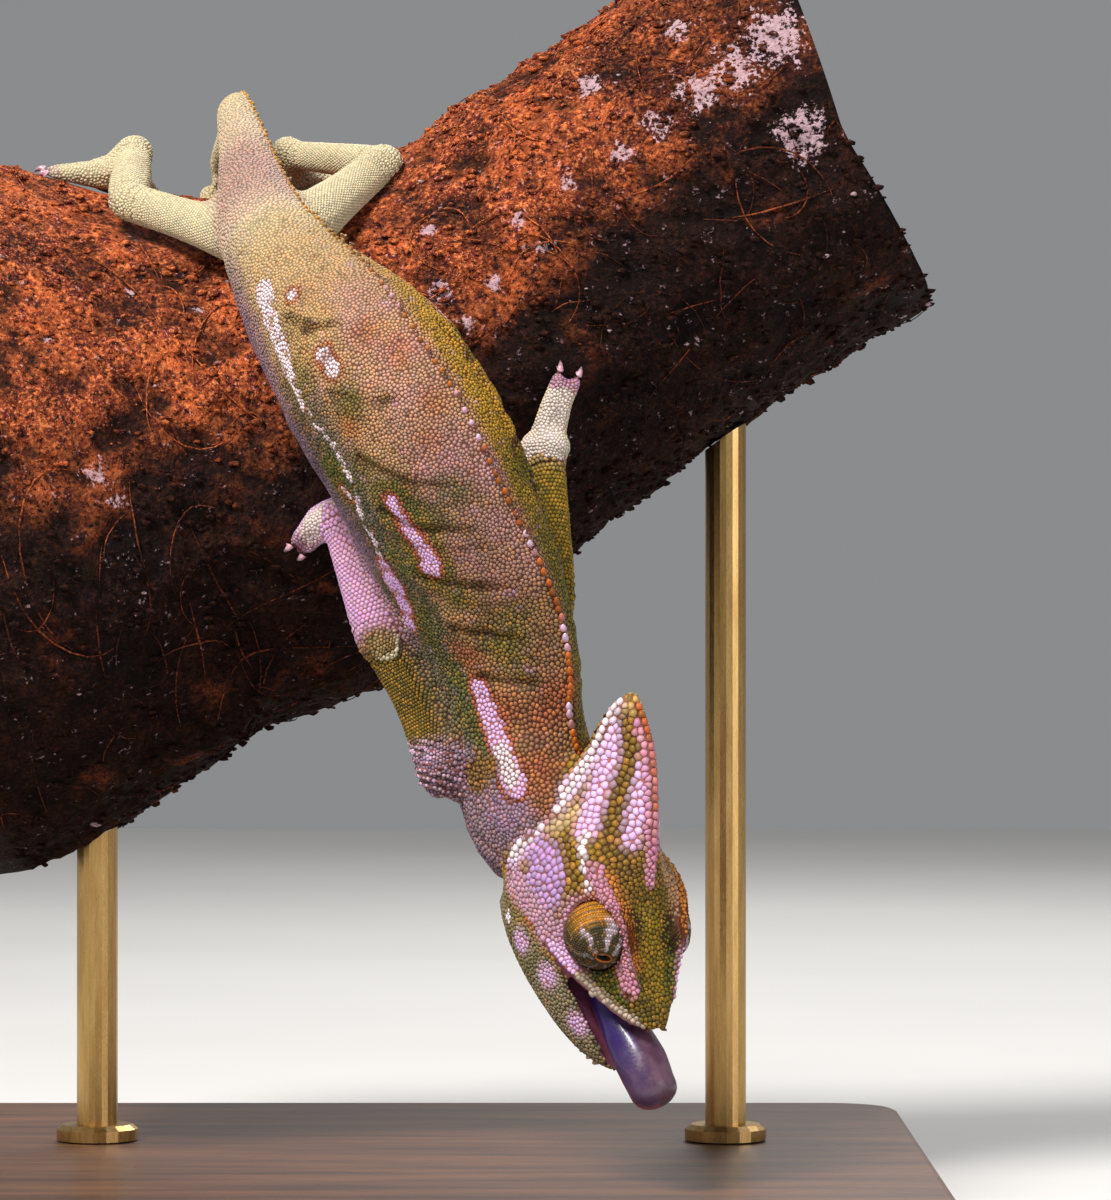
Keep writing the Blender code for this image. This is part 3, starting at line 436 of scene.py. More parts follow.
class Skin:
    """One closed skin over all the flesh, and what is known about each of its points."""

    def __init__(self, spine, head, toes):
        self.spine, self.head = spine, head
        self.mesh = melted_flesh()
        self.points = read(self.mesh.vertices, "co", 3)
        self.edges = read(self.mesh.edges, "vertices", 2, np.int32)
        self.links = np.bincount(self.edges.ravel(), minlength=len(self.points))
        self.points = self.spread(self.points, SMOOTH_ROUNDS)
        self.points -= self.normals_now() * (SKIN_GROWTH + COAT_DEPTH)
        self.find_owners()
        self.toes = toes
        self.round_toes()
        self.points = self.spread(self.points, JOINT_ROUNDS, self.joints())
        self.locate()
        self.points += self.normals_now() * (self.relief() * MM)[:, None]
        self.normals = self.normals_now()
        # More where the skin bends sharply
        self.edge = 1 - sizes_of(self.spread(self.normals, 3))
        self.locate()
        self.unwrap()
        self.bvh = BVHTree.FromPolygons(self.points.tolist(), self.faces.tolist())

    def spread(self, values, rounds, share=1.0):
        """Averages values with their neighbours' along the skin."""
        one, other = self.edges.T
        count = len(self.links)
        share = np.broadcast_to(share, count)[:, None] * 0.5
        for _ in range(rounds):
            total = np.stack([
                np.bincount(one, column[other], count) + np.bincount(other, column[one], count)
                for column in values.T
            ], axis=1)
            values = values + (total / self.links[:, None] - values) * share
        return values

    def normals_now(self):
        write(self.mesh.vertices, "co", self.points)
        self.mesh.update()
        return read(self.mesh.vertices, "normal", 3)

    def find_owners(self):
        """Which solid each point of the skin stands for."""
        points, faces, owners = [], [], []
        for number, node in enumerate(FLESH):
            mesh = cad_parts[node].data
            first = len(points)
            points += [tuple(v.co) for v in mesh.vertices]
            faces += [[first + i for i in p.vertices] for p in mesh.polygons]
            owners += [number] * len(mesh.polygons)
        tree = BVHTree.FromPolygons(points, faces)
        owners = np.array(owners)
        self.owner = owners[[tree.find_nearest(Vector(p))[2] for p in self.points.tolist()]]

    def round_toes(self):
        """Draws the skin back to the end of each toe, where the claw begins."""
        for name, end, along, radius in self.toes:
            away = self.points - np.array(end)
            ahead = away @ np.array(along)
            aside = sizes_of(away - np.outer(ahead, along))
            over = np.clip(ahead - radius * 0.8, 0, None) * (aside < radius * 1.4) * self.owned_by(name)
            self.points -= np.outer(over * 0.9, along)

    def owned_by(self, *nodes):
        """1 on the skin of the named solids and 0 elsewhere."""
        return np.isin(self.owner, numbers(nodes)).astype(float)

    def off(self, line, mirrored=False):
        """Distance in millimetres of each point from a line of places on the body."""
        return from_line(self.points, self.spine.line(line, mirrored)) / MM

    def joints(self):
        """1 where one part grows from another, fading away over a few millimetres."""
        parted = self.owner[self.edges[:, 0]] != self.owner[self.edges[:, 1]]
        mask = np.zeros((len(self.points), 1))
        mask[self.edges[parted].ravel()] = 1
        return within(self.spread(mask, 10)[:, 0] * 5)

    def locate(self):
        s, angle = self.spine.read(self.points)
        self.s, self.angle = s / MM, np.degrees(angle)
        self.face = self.head.into(self.points)

    def relief(self):
        """Folds, creases and ridges of the skin, in millimetres outwards."""
        lift = np.zeros(len(self.points))
        body = self.owned_by("neck", "torso")
        for mirrored in (False, True):
            for crease in FLANK_CREASES:
                gap = self.off(crease, mirrored)
                lift -= body * (0.7 * fade(gap, 0.2, 1.2) - 0.2 * fade(abs(gap - 2.2), 0.3, 1.4))
        for crease in LEFT_FOLDS:
            gap = self.off(crease)
            lift -= body * (0.8 * fade(gap, 0.2, 2.4) - 0.3 * fade(abs(gap - 3.4), 0.4, 2.2))
        for crease in SHOULDER_CREASES + THROAT_CREASES:
            lift -= 0.45 * fade(self.off(crease), 0.1, 1.0)
        rough = mottle(self.points, 5 * MM, 3)
        lift += body * 0.25 * rough
        for node, (start, end, _) in LIMBS.items():
            a, b = np.array(start), np.array(end)
            length = np.linalg.norm(b - a)
            t = (self.points / MM - a) @ (b - a) / length**2
            bend = np.maximum(fade(t, 0.12, 0.15), fade(1 - t, 0.1, 0.15))
            ring = np.abs(np.sin(np.pi * (t * length / 1.9 + 0.5 * rough))) ** 8
            lift -= self.owned_by(node) * bend * ring * 0.28
        _, shoulder, fold = shoulder_folds(self.points, mottle(self.points, 4.5 * MM, 1))
        lift += 0.28 * shoulder * fold
        elbow = sizes_of(self.points / MM - ELBOW)
        arm = self.owned_by("foreleg_right_upper", "foreleg_right_lower")
        lift += arm * (0.3 * fade(elbow, 1.6, 1.2) + 0.35 * fade(abs(elbow - ELBOW_REACH), 0.2, 0.6))
        return lift + self.head_relief()

    def head_relief(self):
        """Brow, casque rim, lips and nostrils, in millimetres outwards."""
        place = folded(self.face)
        skull = self.owned_by("head")
        lift = np.zeros(len(place))
        for line, height, reach in HEAD_RIDGES:
            lift += skull * height * fade(from_line(place, np.array(line, float)), 0.25, reach)
        hole = sizes_of(place - NOSTRIL)
        lift += skull * (0.35 * fade(abs(hole - 1.35), 0.1, 0.7) - 1.1 * fade(hole, 0.35, 0.75))
        return lift

    def unwrap(self):
        """Places on one flat chart: along and around each part, in its own corner of the chart."""
        corners = corners_of(self.mesh)
        sizes = read(self.mesh.polygons, "loop_total", 1, np.int32)
        starts = np.cumsum(sizes) - sizes
        self.faces = corners[starts[:, None] + np.minimum(np.arange(4), sizes[:, None] - 1)]
        leader = np.repeat(corners[starts], sizes)
        along, around, girth, origin = self.chart_places(self.owner[leader], corners)
        _, lead_around, _, _ = self.chart_places(self.owner[leader], leader)
        turn = 2 * math.pi
        around = around + turn * (around - lead_around < -math.pi) - turn * (around - lead_around > math.pi)
        write_uv(self.mesh, on_chart(along, around, girth, origin))
        self.uv = on_chart(*self.chart_places(self.owner, np.arange(len(self.points))))

    def chart_places(self, owner, index):
        """Length along a part, angle round it, its girth over 2 pi and its corner, in millimetres."""
        along, around = self.s[index].copy(), np.radians(self.angle[index])
        girth = np.full(len(index), 22.0)
        origin = np.zeros((len(index), 2))
        tail = np.isin(owner, numbers(TAIL_NODES))
        along[tail] -= TORSO_END / MM
        girth[tail], origin[tail] = 9, (0, 143)
        for node, centre_z, wide, corner in (("head", 12, 18, (140, 0)), ("lower_jaw", -7, 10, (200, 0))):
            mine = owner == FLESH.index(node)
            place = self.face[index[mine]]
            along[mine] = place[:, 0] + 10
            around[mine] = np.arctan2(place[:, 1], place[:, 2] - centre_z)
            girth[mine], origin[mine] = wide, corner
        for number, (node, (start, end, radius)) in enumerate(LIMBS.items()):
            mine = owner == FLESH.index(node)
            a, b = np.array(start), np.array(end)
            way = unit(b - a)
            side = unit(np.cross(way, (0, 1, 0)))
            away = self.points[index[mine]] / MM - a
            along[mine] = away @ way
            around[mine] = np.arctan2(away @ side, away @ np.cross(side, way))
            girth[mine], origin[mine] = radius, (number * 32 + 4, 203)
        for number, (node, (palm, _)) in enumerate(FEET.items()):
            mine = owner == FLESH.index(node)
            palm = np.array(palm)
            out = unit(palm - (palm[0], BRANCH_DEPTH / MM, outline(BRANCH_HEIGHT, palm[0])))
            side = unit(np.cross(out, (0, 0.2, 1)))
            away = self.points[index[mine]] / MM - palm
            along[mine] = away @ side + FOOT_REACH
            under = self.normals_now()[index[mine]] @ out < -0.2
            around[mine] = (away @ np.cross(out, side) + FOOT_REACH) / FOOT_REACH * math.pi - math.pi
            girth[mine] = FOOT_REACH / math.pi
            origin[mine] = np.where(under[:, None], (number * 34, 267), (number * 34, 233))
        return along, around, girth, origin


def on_chart(along, around, girth, origin):
    """Where places along and around a part lie on the chart, whose side is one."""
    return (origin + np.stack((along, (around + math.pi) * girth), axis=1)) / CHART_SPAN


CHART_SPAN = 300.0  # millimetres of skin along one side of the chart
FOOT_REACH = 16  # from the middle of a foot to the edges of its corner of the chart

# Folds of the skin, each a line of places on the body
FLANK_CREASES = (
    ((112, -70), (107, -52), (103, -30)), ((97, -58), (93, -42), (89, -20)),
    ((86, -62), (80, -41), (76, -18)), ((77, -66), (72, -50), (69, -22)), ((64, -66), (60, -42), (57, -20)),
    ((52, -64), (49, -40), (46, -22)), ((40, -58), (37, -38), (35, -22)),
)
LEFT_FOLDS = (
    ((118, 30), (100, 34), (80, 40), (60, 48)), ((112, 50), (92, 54), (70, 62), (52, 70)),
    ((104, 70), (84, 74), (62, 82)), ((96, 22), (78, 24), (60, 28)),
)
SHOULDER_CREASES = (
    ((34, -104), (29, -118), (22, -128), (16, -132)), ((30, -98), (25, -110), (19, -118), (13, -122)),
    ((26, -90), (21, -101), (15, -110)), ((38, -112), (33, -128), (26, -140), (19, -146)),
    ((42, -124), (36, -140), (29, -152)),
)
THROAT_CREASES = (
    ((2, -140), (12, -146), (22, -154)), ((2, -156), (12, -160), (24, -166)),
    ((2, 150), (12, 152), (24, 158)), ((2, 172), (12, 173), (24, 176)), ((8, -100), (14, -104), (20, -112)),
    ((6, -84), (12, -88), (17, -94)),
)
# Ridges of the head: places in the head's frame, height and reach in millimetres
HEAD_RIDGES = (
    (((8, 9.2, 20), (12, 10, 19.6), (18, 10, 17.6), (25.8, 7.4, 12), (32, 4.4, 5.6)), 0.55, 1.5),
    (((-5, 8.8, 5), (-4.9, 8.6, 12), (-5.1, 7.6, 19), (-5.4, 5.2, 25), (-6, 3.4, 34), (-6.4, 0.8, 42.6)),
     0.55, 1.3),
    (((-6, 0, 43), (3, 0, 39), (8.5, 0, 33.8), (13.5, 0, 27.2), (18, 0, 20.5)), 0.5, 1.4),
    (((-2, 10.2, 5), (5, 11.2, 3.2), (11, 10.8, 1.6), (18, 9.4, 0.8), (26, 7.4, 0.8), (33, 4.2, 0.7)),
     0.4, 1.2),
)


def shoulder_folds(points, wobble):
    """Millimetres from the middle of the shoulder, where its fine folds lie and the wave they make."""
    away = points / MM - ELBOW - SHOULDER
    patch = fade(sizes_of(away * (0.55, 0.4, 1)) + wobble, 4.2, 3.8)
    return away, patch, np.sin((away[:, 2] + 0.25 * away[:, 0]) * 2 * math.pi / FOLD_STEP + 0.9 * wobble)


class Marks:
    """How strongly each paint of the palette lies on each point of the skin."""

    PAINTS = ("orange", "rust", "cream", "lilac", "white", "grey", "green", "yellow", "dark")

    def __init__(self, skin):
        self.skin = skin
        self.layers = {paint: np.zeros(len(skin.points)) for paint in self.PAINTS}
        self.grain = mottle(skin.points, 4.5 * MM, 1)
        self.blotch = mottle(skin.points, 11 * MM, 2)
        self.speck = mottle(skin.points, 1.7 * MM, 5)
        self.broad_body()
        self.broad_limbs()
        self.soften(22)
        self.broad_head()
        self.soften(5)
        self.fine_body()
        self.fine_limbs()
        self.fine_head()
        self.lining = self.mouth_lining()
        self.layers = {paint: within(values) for paint, values in self.layers.items()}

    def soften(self, rounds):
        table = self.skin.spread(np.stack(list(self.layers.values()), axis=1), rounds)
        self.layers = dict(zip(self.PAINTS, table.T))

    def cover(self, mix, where):
        """Lays a mix of paints over what is there, as strongly as the mask says."""
        where = within(where)
        for paint, values in self.layers.items():
            self.layers[paint] = values * (1 - where) + where * MIXES[mix].get(paint, 0)

    def near_body(self, s, angle):
        """Distance in millimetres of every point from a place on the body's surface."""
        return sizes_of(self.skin.points - self.skin.spine.at(s, angle)) / MM

    def spots(self, places, signs=(-1, 1)):
        """A soft mask of round patches on the body, each a length, an angle and a reach."""
        mask = np.zeros(len(self.skin.points))
        for s, angle, reach in places:
            for sign in signs:
                gap = self.near_body(s, angle * sign)
                mask = np.maximum(mask, fade(gap + 0.9 * self.grain, reach * 0.65, reach * 0.6))
        return mask

    def broad_body(self):
        skin, blotch, grain = self.skin, self.blotch, self.grain
        s, side, left = skin.s, abs(skin.angle), skin.angle > 4
        body = skin.owned_by("neck", "torso")
        upper = fade(abs(s - 96), 16, 26) * fade(side, 70, 26)
        for mix, where in (
            ("gold", 0.4 + 0.4 * within(blotch + 0.3) + 0.5 * upper),
            ("lilac brown", fade(abs(side - 24), 14, 16) * fade(abs(s - 44), 30, 18) * 0.8),
            ("heather", ~left * fade(side, 26, 14) * fade(abs(s - 84), 22, 10) * within(0.5 + grain) * 0.6),
            ("green", within(blotch * 1.5 - 0.35) * within((116 - s) / 12) * 0.5),
            ("deep green", fade(abs(side - 110), 30, 24) * within((110 - s) / 16) * 0.95),
            ("night", fade(abs(side - 112), 16, 10) * fade(abs(s - 74), 26, 12) * 0.7),
            ("slate", fade(abs(side - 146), 26, 22) * 0.8),
            # The left flank, which faces the light, is laid yellow-gold: painted warm light.
            ("leaf gold", left * fade(side, 64, 40) * 0.9),
            ("green", left * within((84 - s) / 26) * fade(side, 74, 40) * 0.7),
            ("green", self.spots(GREEN_PATCHES) * within(0.7 + 0.5 * grain)),
            ("orange", self.spots(ORANGE_PATCHES, (-1,)) * 0.6),
            ("rust", self.spots(RUST_PATCHES, (-1,)) * 0.75),
            ("tan", within((s - 98) / 24) * fade(side, 96, 40) * 0.9),
            ("butter", fade(self.near_body(106, -54), 3, 5) * 0.6),
        ):
            self.cover(mix, body * where)
        tail = skin.owned_by(*TAIL_NODES)
        self.cover("pale", within(body * (s - 124) / 22 + tail))
        for mix, where in (
            ("rose", fade(s, 168, 20) * 0.2),
            ("tan", fade(s, 190, 30) * within(0.45 + 0.5 * grain) * 0.7),
            ("tan", within(np.sin(s / 9.5) * 0.7 + blotch * 0.8) * within((s - 160) / 30)),
            ("dusk", fade(abs(s - 153), 5, 12) * 0.7),
        ):
            self.cover(mix, tail * where)
        for mix, where in (
            ("slate", fade(s, 12, 8) * fade(abs(side - 130), 26, 20) * 0.6),
            ("throat", fade(s, 17, 8) * fade(abs(side - 112), 34, 20) * 0.8),
            ("plum", fade(s, 15, 8) * fade(abs(side - 98), 16, 14) * within(0.4 + 0.8 * grain) * 0.6),
        ):
            self.cover(mix, body * where)

    def broad_limbs(self):
        """Each limb's own ground colours."""
        for names, mix in LIMB_PAINTS.items():
            self.cover(mix, self.skin.owned_by(*names.split()) * within(1 + 0.25 * self.blotch))

    def head_masks(self):
        """Places in the head's frame with the left side folded onto the right, and a mask of each side."""
        left = self.skin.face[:, 1] > 0
        return folded(self.skin.face), {"both": 1.0, "left": left, "right": ~left}

    def broad_head(self):
        skin = self.skin
        place, sides = self.head_masks()
        skull, jaw = skin.owned_by("head"), skin.owned_by("lower_jaw")
        self.cover("head ground", skull)
        for mix, side, line, reach, soft in HEAD_BANDS:
            gap = from_line(place, np.array(line, float)) + 0.3 * self.speck
            self.cover(mix, skull * sides[side] * fade(gap, reach, soft))
        orbit = abs(sizes_of(place - EYE_PLACE) - EYE_RADIUS - 0.7)
        outer = within((place[:, 1] - 7.6) / 1.5) * fade(place[:, 0], 22, 3)
        self.cover("rose", skull * fade(orbit, 0.6, 0.9) * outer * 0.85)
        above = within((place[:, 2] - EYE_PLACE[2] - 2) / 3)
        self.cover("orange", skull * fade(orbit, 0.5, 0.9) * outer * above * 0.8)
        self.cover("jaw ground", jaw)
        self.cover("green", jaw * within(self.blotch * 1.5) * 0.5)
        for spot in JAW_LILAC:
            self.cover("lilac", jaw * fade(sizes_of(place - np.array(spot)), 1.3, 1.6) * 0.8)

    def fine_body(self):
        """The dotted pale line, the bordered stripes, the bright spots, and painted shade darkening the
        creases.
        """
        skin = self.skin
        body = skin.owned_by("neck", "torso")
        wobble = 0.5 * self.speck + 0.5 * self.grain
        side = abs(skin.angle)
        # The creases are darkened with umber: painted shade in the folds.
        for crease in FLANK_CREASES:
            for mirrored in (False, True):
                gap = skin.off(crease, mirrored)
                self.cover("umber", body * fade(gap + self.grain, 0.35, 1.3) * 0.8)
        self.cover("umber", body * within(-self.speck * 1.3 - 0.4) * 0.7)
        self.cover("lilac", body * within(self.speck * 1.3 - 0.45) * fade(side, 110, 20) * 0.3)
        for mirrored in (False, True):
            strength = 0.7 if mirrored else 1.0
            gap = skin.off(PALE_LINE, mirrored) + 0.5 * self.speck
            width = np.interp(skin.s, (60, 102, 108, 124), (0.7, 0.65, 1.7, 2.3))
            dots = within(0.5 + 2.8 * mottle(skin.points, 1.9 * MM, 11) + within((skin.s - 102) / 6))
            self.cover("white", body * fade(gap, width, 0.5) * dots * strength)
            beside = skin.off(STRIPE, mirrored) + wobble
            self.cover("deep leaf", body * fade(beside, 3.6, 1.6) * 0.7 * strength)
            for line, widths in ((STRIPE, (1.5, 0.9)), (NECK_BAND, (2.3, 1.6))):
                gap = skin.off(line, mirrored)
                width = np.interp(skin.s, (line[-1][0], line[0][0]), widths) + 0.4 * wobble
                self.cover("rust", body * fade(gap, width + 1.0, 0.7) * 0.9 * strength)
                self.cover("stripe", body * fade(gap, width, 0.6) * strength)
            bright = skin.off(NECK_BRIGHT, mirrored) + 0.5 * wobble
            self.cover("white", body * fade(bright, 1.4, 0.8) * strength)
            for s, angle, reach in PALE_SPOTS:
                gap = self.near_body(s, angle if mirrored else -angle) + 0.3 * wobble
                self.cover("rust", body * fade(abs(gap - reach - 0.6), 0.3, 0.6) * 0.55 * strength)
                self.cover("white", body * fade(gap, reach, 0.5) * strength)
        for s, angle, reach in BULGES:
            gap = self.near_body(s, angle) + 0.4 * wobble
            self.cover("rust", body * fade(gap, reach + 1.0, 0.8) * 0.6)
            self.cover("violet", body * fade(gap, reach, 0.8))

    def fine_limbs(self):
        """The round patch on the right elbow, the shoulder's fine folds, olive patches on the throat, painted
        highlights on the fronts of the hands and mauve toe tips.
        """
        skin = self.skin
        away = skin.points / MM - ELBOW
        gap = sizes_of(away)
        arm = skin.owned_by("foreleg_right_upper", "foreleg_right_lower")
        self.cover("tan", arm * fade(gap, 2.3, 0.5) * 0.5)
        facing = within(0.3 + (away[:, 0] * 0.8 - away[:, 2] * 0.6) / np.maximum(gap, 0.1))
        self.cover("pale", arm * fade(abs(gap - ELBOW_REACH), 0.3, 0.35) * facing)
        away, shoulder, fold = shoulder_folds(skin.points, self.grain)
        shoulder = shoulder * skin.owned_by("foreleg_right_upper", "neck", "torso")
        self.cover("slate", shoulder * 0.85)
        self.cover("plum", shoulder * within(self.grain) * 0.3)
        self.cover("green", shoulder * within(-self.grain) * 0.5)
        edge = fade(away[:, 0], -4, 9)
        self.cover("pale lilac", shoulder * within(fold * 2 - 0.6) * (0.3 + 0.5 * edge) * 0.85)
        self.cover("olive", skin.owned_by("neck", "torso") * self.spots(THROAT_OLIVE) * 0.9)
        hands = skin.owned_by("forefoot_right", "forefoot_left")
        # Painted highlight on the sides of the hands that face the front.
        self.cover("painted_highlight", hands * within(-skin.normals[:, 1] * 1.6 - 0.4 + 0.4 * self.speck) * 0.9)
        for name, end, _, radius in skin.toes:
            gap = sizes_of(skin.points - np.array(end))
            strength = 0.85 if name.startswith("fore") else 0.2
            self.cover("mauve", skin.owned_by(name) * fade((gap - radius) / MM, 0.2, 1.2) * strength)

    def fine_head(self):
        skin = self.skin
        place, sides = self.head_masks()
        skull = skin.owned_by("head")
        for mix, side, line, reach, soft in HEAD_LINES:
            gap = from_line(place, np.array(line, float)) + 0.3 * self.speck
            self.cover(mix, skull * sides[side] * fade(gap, reach, soft))
        # The nostril's hollow is darkened with umber: painted shade.
        hole = sizes_of(place - NOSTRIL)
        self.cover("umber", skull * fade(hole, 0.6, 0.5))
        corner = sizes_of(place - np.array((0.5, 8.6, -2.6)))
        self.cover("white", fade(corner, 0.8, 0.7))

    def mouth_lining(self):
        """1 on the palate and the trough of the lower jaw."""
        skin = self.skin
        up = skin.normals @ skin.head.axes[2]
        x, y, z = skin.face.T
        roof = skin.owned_by("head") * within((-up - 0.25) * 4) * (z < 3.2) * (x > 0.5)
        inside = abs(y) < outline(JAW_WIDTH, x) * 0.92
        floor = skin.owned_by("lower_jaw") * within((up - 0.3) * 4) * inside * (x > 0.5)
        return np.maximum(roof, floor)


# Named colours as shares of the palette's paints
MIXES = {
    "gold": {"yellow": 0.5, "orange": 0.08, "cream": 0.36, "lilac": 0.1},
    "heather": {"lilac": 0.36, "orange": 0.24, "rust": 0.06, "cream": 0.2},
    "night": {"dark": 0.45, "green": 0.35, "grey": 0.35},
    "plum": {"lilac": 0.62, "grey": 0.7},
    "amber": {"orange": 0.6, "yellow": 0.55, "cream": 0.1},
    "painted_highlight": {"cream": 0.8, "white": 0.6},
    "leaf gold": {"yellow": 0.9, "green": 0.2},
    "lilac brown": {"lilac": 0.06, "green": 0.3, "orange": 0.1, "dark": 0.1},
    "deep green": {"green": 0.75, "grey": 0.45, "dark": 0.12},
    "slate": {"grey": 0.85, "green": 0.2, "lilac": 0.16},
    "green": {"green": 0.85},
    "orange": {"orange": 0.8, "yellow": 0.2},
    "rust": {"rust": 0.75, "orange": 0.3},
    "tan": {"cream": 0.66, "orange": 0.14, "yellow": 0.1},
    "pale": {"cream": 0.92, "white": 0.1, "green": 0.08},
    "umber": {"dark": 0.85, "green": 0.2},
    "stripe": {"lilac": 0.85, "white": 0.2},
    "white": {"lilac": 0.2, "white": 0.95},
    "violet": {"lilac": 1.0, "white": 0.15},
    "mauve": {"lilac": 0.5, "grey": 0.4, "rust": 0.2},
    "lilac": {"lilac": 0.95, "white": 0.25},
    "pale lilac": {"lilac": 0.8, "white": 0.45},
    "throat": {"grey": 0.4, "green": 0.45, "lilac": 0.2, "cream": 0.25},
    "pink": {"lilac": 0.75, "orange": 0.12, "cream": 0.5},
    "coral": {"rust": 0.1, "lilac": 0.42, "orange": 0.7, "cream": 0.25},
    "cheek": {"green": 0.16, "cream": 0.4, "lilac": 0.4, "orange": 0.3},
    "rose": {"cream": 0.3, "lilac": 0.62, "orange": 0.3},
    "dusk": {"cream": 0.45, "rust": 0.25, "lilac": 0.2, "dark": 0.14},
    "bronze": {"green": 0.45, "yellow": 0.35, "dark": 0.38},
    "straw": {"cream": 0.9, "yellow": 0.22, "white": 0.25},
    "ember": {"orange": 0.85, "rust": 0.15},
    "olive": {"green": 0.6, "orange": 0.2, "dark": 0.14},
    "butter": {"cream": 0.65, "yellow": 0.5, "orange": 0.15},
    "lime": {"yellow": 0.8, "green": 0.5, "dark": 0.24},
    "leaf": {"green": 0.6, "yellow": 0.55, "orange": 0.06, "dark": 0.36},
    "deep leaf": {"green": 0.85, "yellow": 0.2, "dark": 0.3},
    "head ground": {"green": 0.45, "yellow": 0.35, "orange": 0.12},
    "jaw ground": {"green": 0.4, "cream": 0.35, "grey": 0.3},
    "lip": {"cream": 0.7, "green": 0.25, "lilac": 0.15},
}
# Markings as places on the body: length, angle and, for patches, reach in millimetres
GREEN_PATCHES = (
    (35.5, 80, 5), (39, 105, 7), (37.5, 128, 6), (46, 118, 6), (16, 60, 3.5), (67.5, 74, 4.5),
    (61.5, 120, 5), (94.5, 49.5, 4), (72.5, 36, 4.5), (76, 20, 4), (47, 29.5, 5), (55, 98, 6),
    (84, 64, 4.5), (86, 98, 6), (103, 80, 5), (58, 46, 3.5), (79, 45, 3), (28, 96, 6), (112, 76, 4),
    (51, 22, 3), (45, 32, 3.5), (41, 30, 3), (38, 75, 5), (33, 112, 6), (52, 14, 2), (71, 30, 3),
    (83, 66, 4), (92, 52, 3), (77, 42, 2.6), (48, 44, 3),
)
THROAT_OLIVE = ((21, 84, 2.6), (22, 98, 3.2), (22.5, 114, 3.4))
ORANGE_PATCHES = (
    (95.5, 11, 3), (87.5, 11, 2.5), (114, 51, 2.5), (100.5, 23, 3), (83.5, 21, 2.5), (91, 57, 2.2),
)
RUST_PATCHES = (
    (44.5, 62, 2.6), (47, 74, 2), (25.5, 22, 3), (29.5, 7, 4), (31, 47, 3.5), (14, 45, 4), (9, 62, 3),
)
PALE_LINE = (
    (120.5, -88.8), (116, -90.3), (111, -87.7), (103, -86.2), (97.5, -84.5), (90, -78.2), (82, -81.7),
    (77.5, -92), (71, -94), (66, -107.6), (59, -113.6), (53.5, -126),
)
STRIPE = ((78, -55.4), (75, -55), (71, -52.2), (69, -51), (66.5, -50.2), (64.5, -53.2))
NECK_BAND = ((37.5, -64.7), (30, -64), (26.5, -62.5), (21, -66.5), (15, -69.5))
NECK_BRIGHT = ((22.5, -65.5), (19, -68), (16.5, -70))
PALE_SPOTS = (
    (101.8, 50, 1.6), (100.5, 49.2, 1.5), (99.2, 48.5, 1.7), (115, 60, 1.0), (83, 98, 0.7), (81.5, 94, 0.6),
)
BULGES = ((66, -103, 1.6), (62.5, -106, 2.6), (58, -112, 2.0), (54.5, -118, 1.3))
LIMB_PAINTS = {
    "foreleg_right_lower": "rose",
    "foreleg_right_upper": "bronze",
    "foreleg_left_upper foreleg_left_lower": "lime",
    "forefoot_right": "pink",
    "forefoot_left": "straw",
    "hindleg_right_upper hindleg_right_lower hindfoot_right": "pale",
    "hindleg_left_upper hindleg_left_lower hindfoot_left": "pale",
}
ELBOW, ELBOW_REACH = np.array((2.4, -46.9, 109.9)), 2.8
SHOULDER, FOLD_STEP = np.array((9.0, 0, -24.0)), 1.35  # from the elbow to the shoulder's fine folds
# Bands and lines of the head: mix, side, line in the head's frame, reach and softness
BROW = ((13, 9.6, 19), (17.7, 9.9, 17.3), (20.8, 9.5, 16.4), (23.5, 8.3, 13.4))
HEAD_BANDS = (
    ("leaf", "both", ((20, 3, 17), (34, 1, 4)), 6.5, 3),
    ("deep leaf", "both", ((24, 4, 13), (30, 3, 8)), 2.2, 2),
    ("lime", "both", ((22, 0, 14.5), (25.5, 0, 11), (31, 0, 7)), 2.2, 1.8),
    ("amber", "right", ((14, 7, 21), (19, 7.6, 18), (23, 6.4, 14), (27, 4.9, 9.5)), 1.4, 1.6),
    ("cheek", "both", ((-2, 9.6, 4), (5, 10.8, 5), (11, 10.5, 3.4)), 2.6, 1.5),
    ("deep leaf", "both", ((22, 8, 4.5), (29, 6.2, 3.6)), 1.6, 1.4),
    ("olive", "right", ((14, 4, 23), (18, 4.5, 19)), 1.6, 1.5),
    # The left side, which faces the light, is laid yellower than the right: painted warm light.
    ("gold", "left", ((14, 5.5, 21.5), (19, 7.5, 18.5), (23, 7.5, 14.5)), 1.8, 1.6),
    ("plum", "both", ((-2.8, 9.3, 11.8), (1.8, 9.9, 13.5), (6, 10.5, 12.6)), 2.1, 1.2),
    ("plum", "both", ((3, 10.7, 9.4), (7.9, 10.8, 9.4)), 2.0, 1.2),
    ("lilac", "both", ((-2.8, 3.0, 37), (-0.2, 4, 30.5), (1.9, 5.4, 25.3), (4.6, 6.8, 22)), 2.0, 1.0),
    ("lilac", "both", ((3.3, 1.2, 38.2), (8.1, 2.5, 31.4), (11.7, 3.8, 25.7)), 1.6, 1.0),
    ("olive", "both",
     ((-3.7, 2.2, 41.2), (0.9, 2.5, 37.2), (3.6, 3.3, 31.6), (6.9, 4.8, 26.5), (13, 7, 21.5)), 1.4, 1.4),
    ("tan", "both", ((-1, 7.8, 17.5), (0, 6.6, 22)), 1.2, 1.0),
    ("olive", "both", ((2.8, 9.0, 18.6), (8, 10, 15.4)), 0.8, 0.9),
    ("pale lilac", "both", ((-4.7, 9, 7), (-4.7, 8.5, 13), (-4.4, 7.2, 19), (-4.4, 5.2, 25)), 1.5, 0.9),
    ("pale lilac", "both", ((-4.4, 5.2, 25), (-4.8, 3.8, 31), (-6, 2.8, 37), (-6.6, 1.8, 41)), 1.0, 0.8),
    ("butter", "both", ((-6.8, 0, 42.6), (-4.5, 0.4, 43.2)), 1.6, 1.4),
)
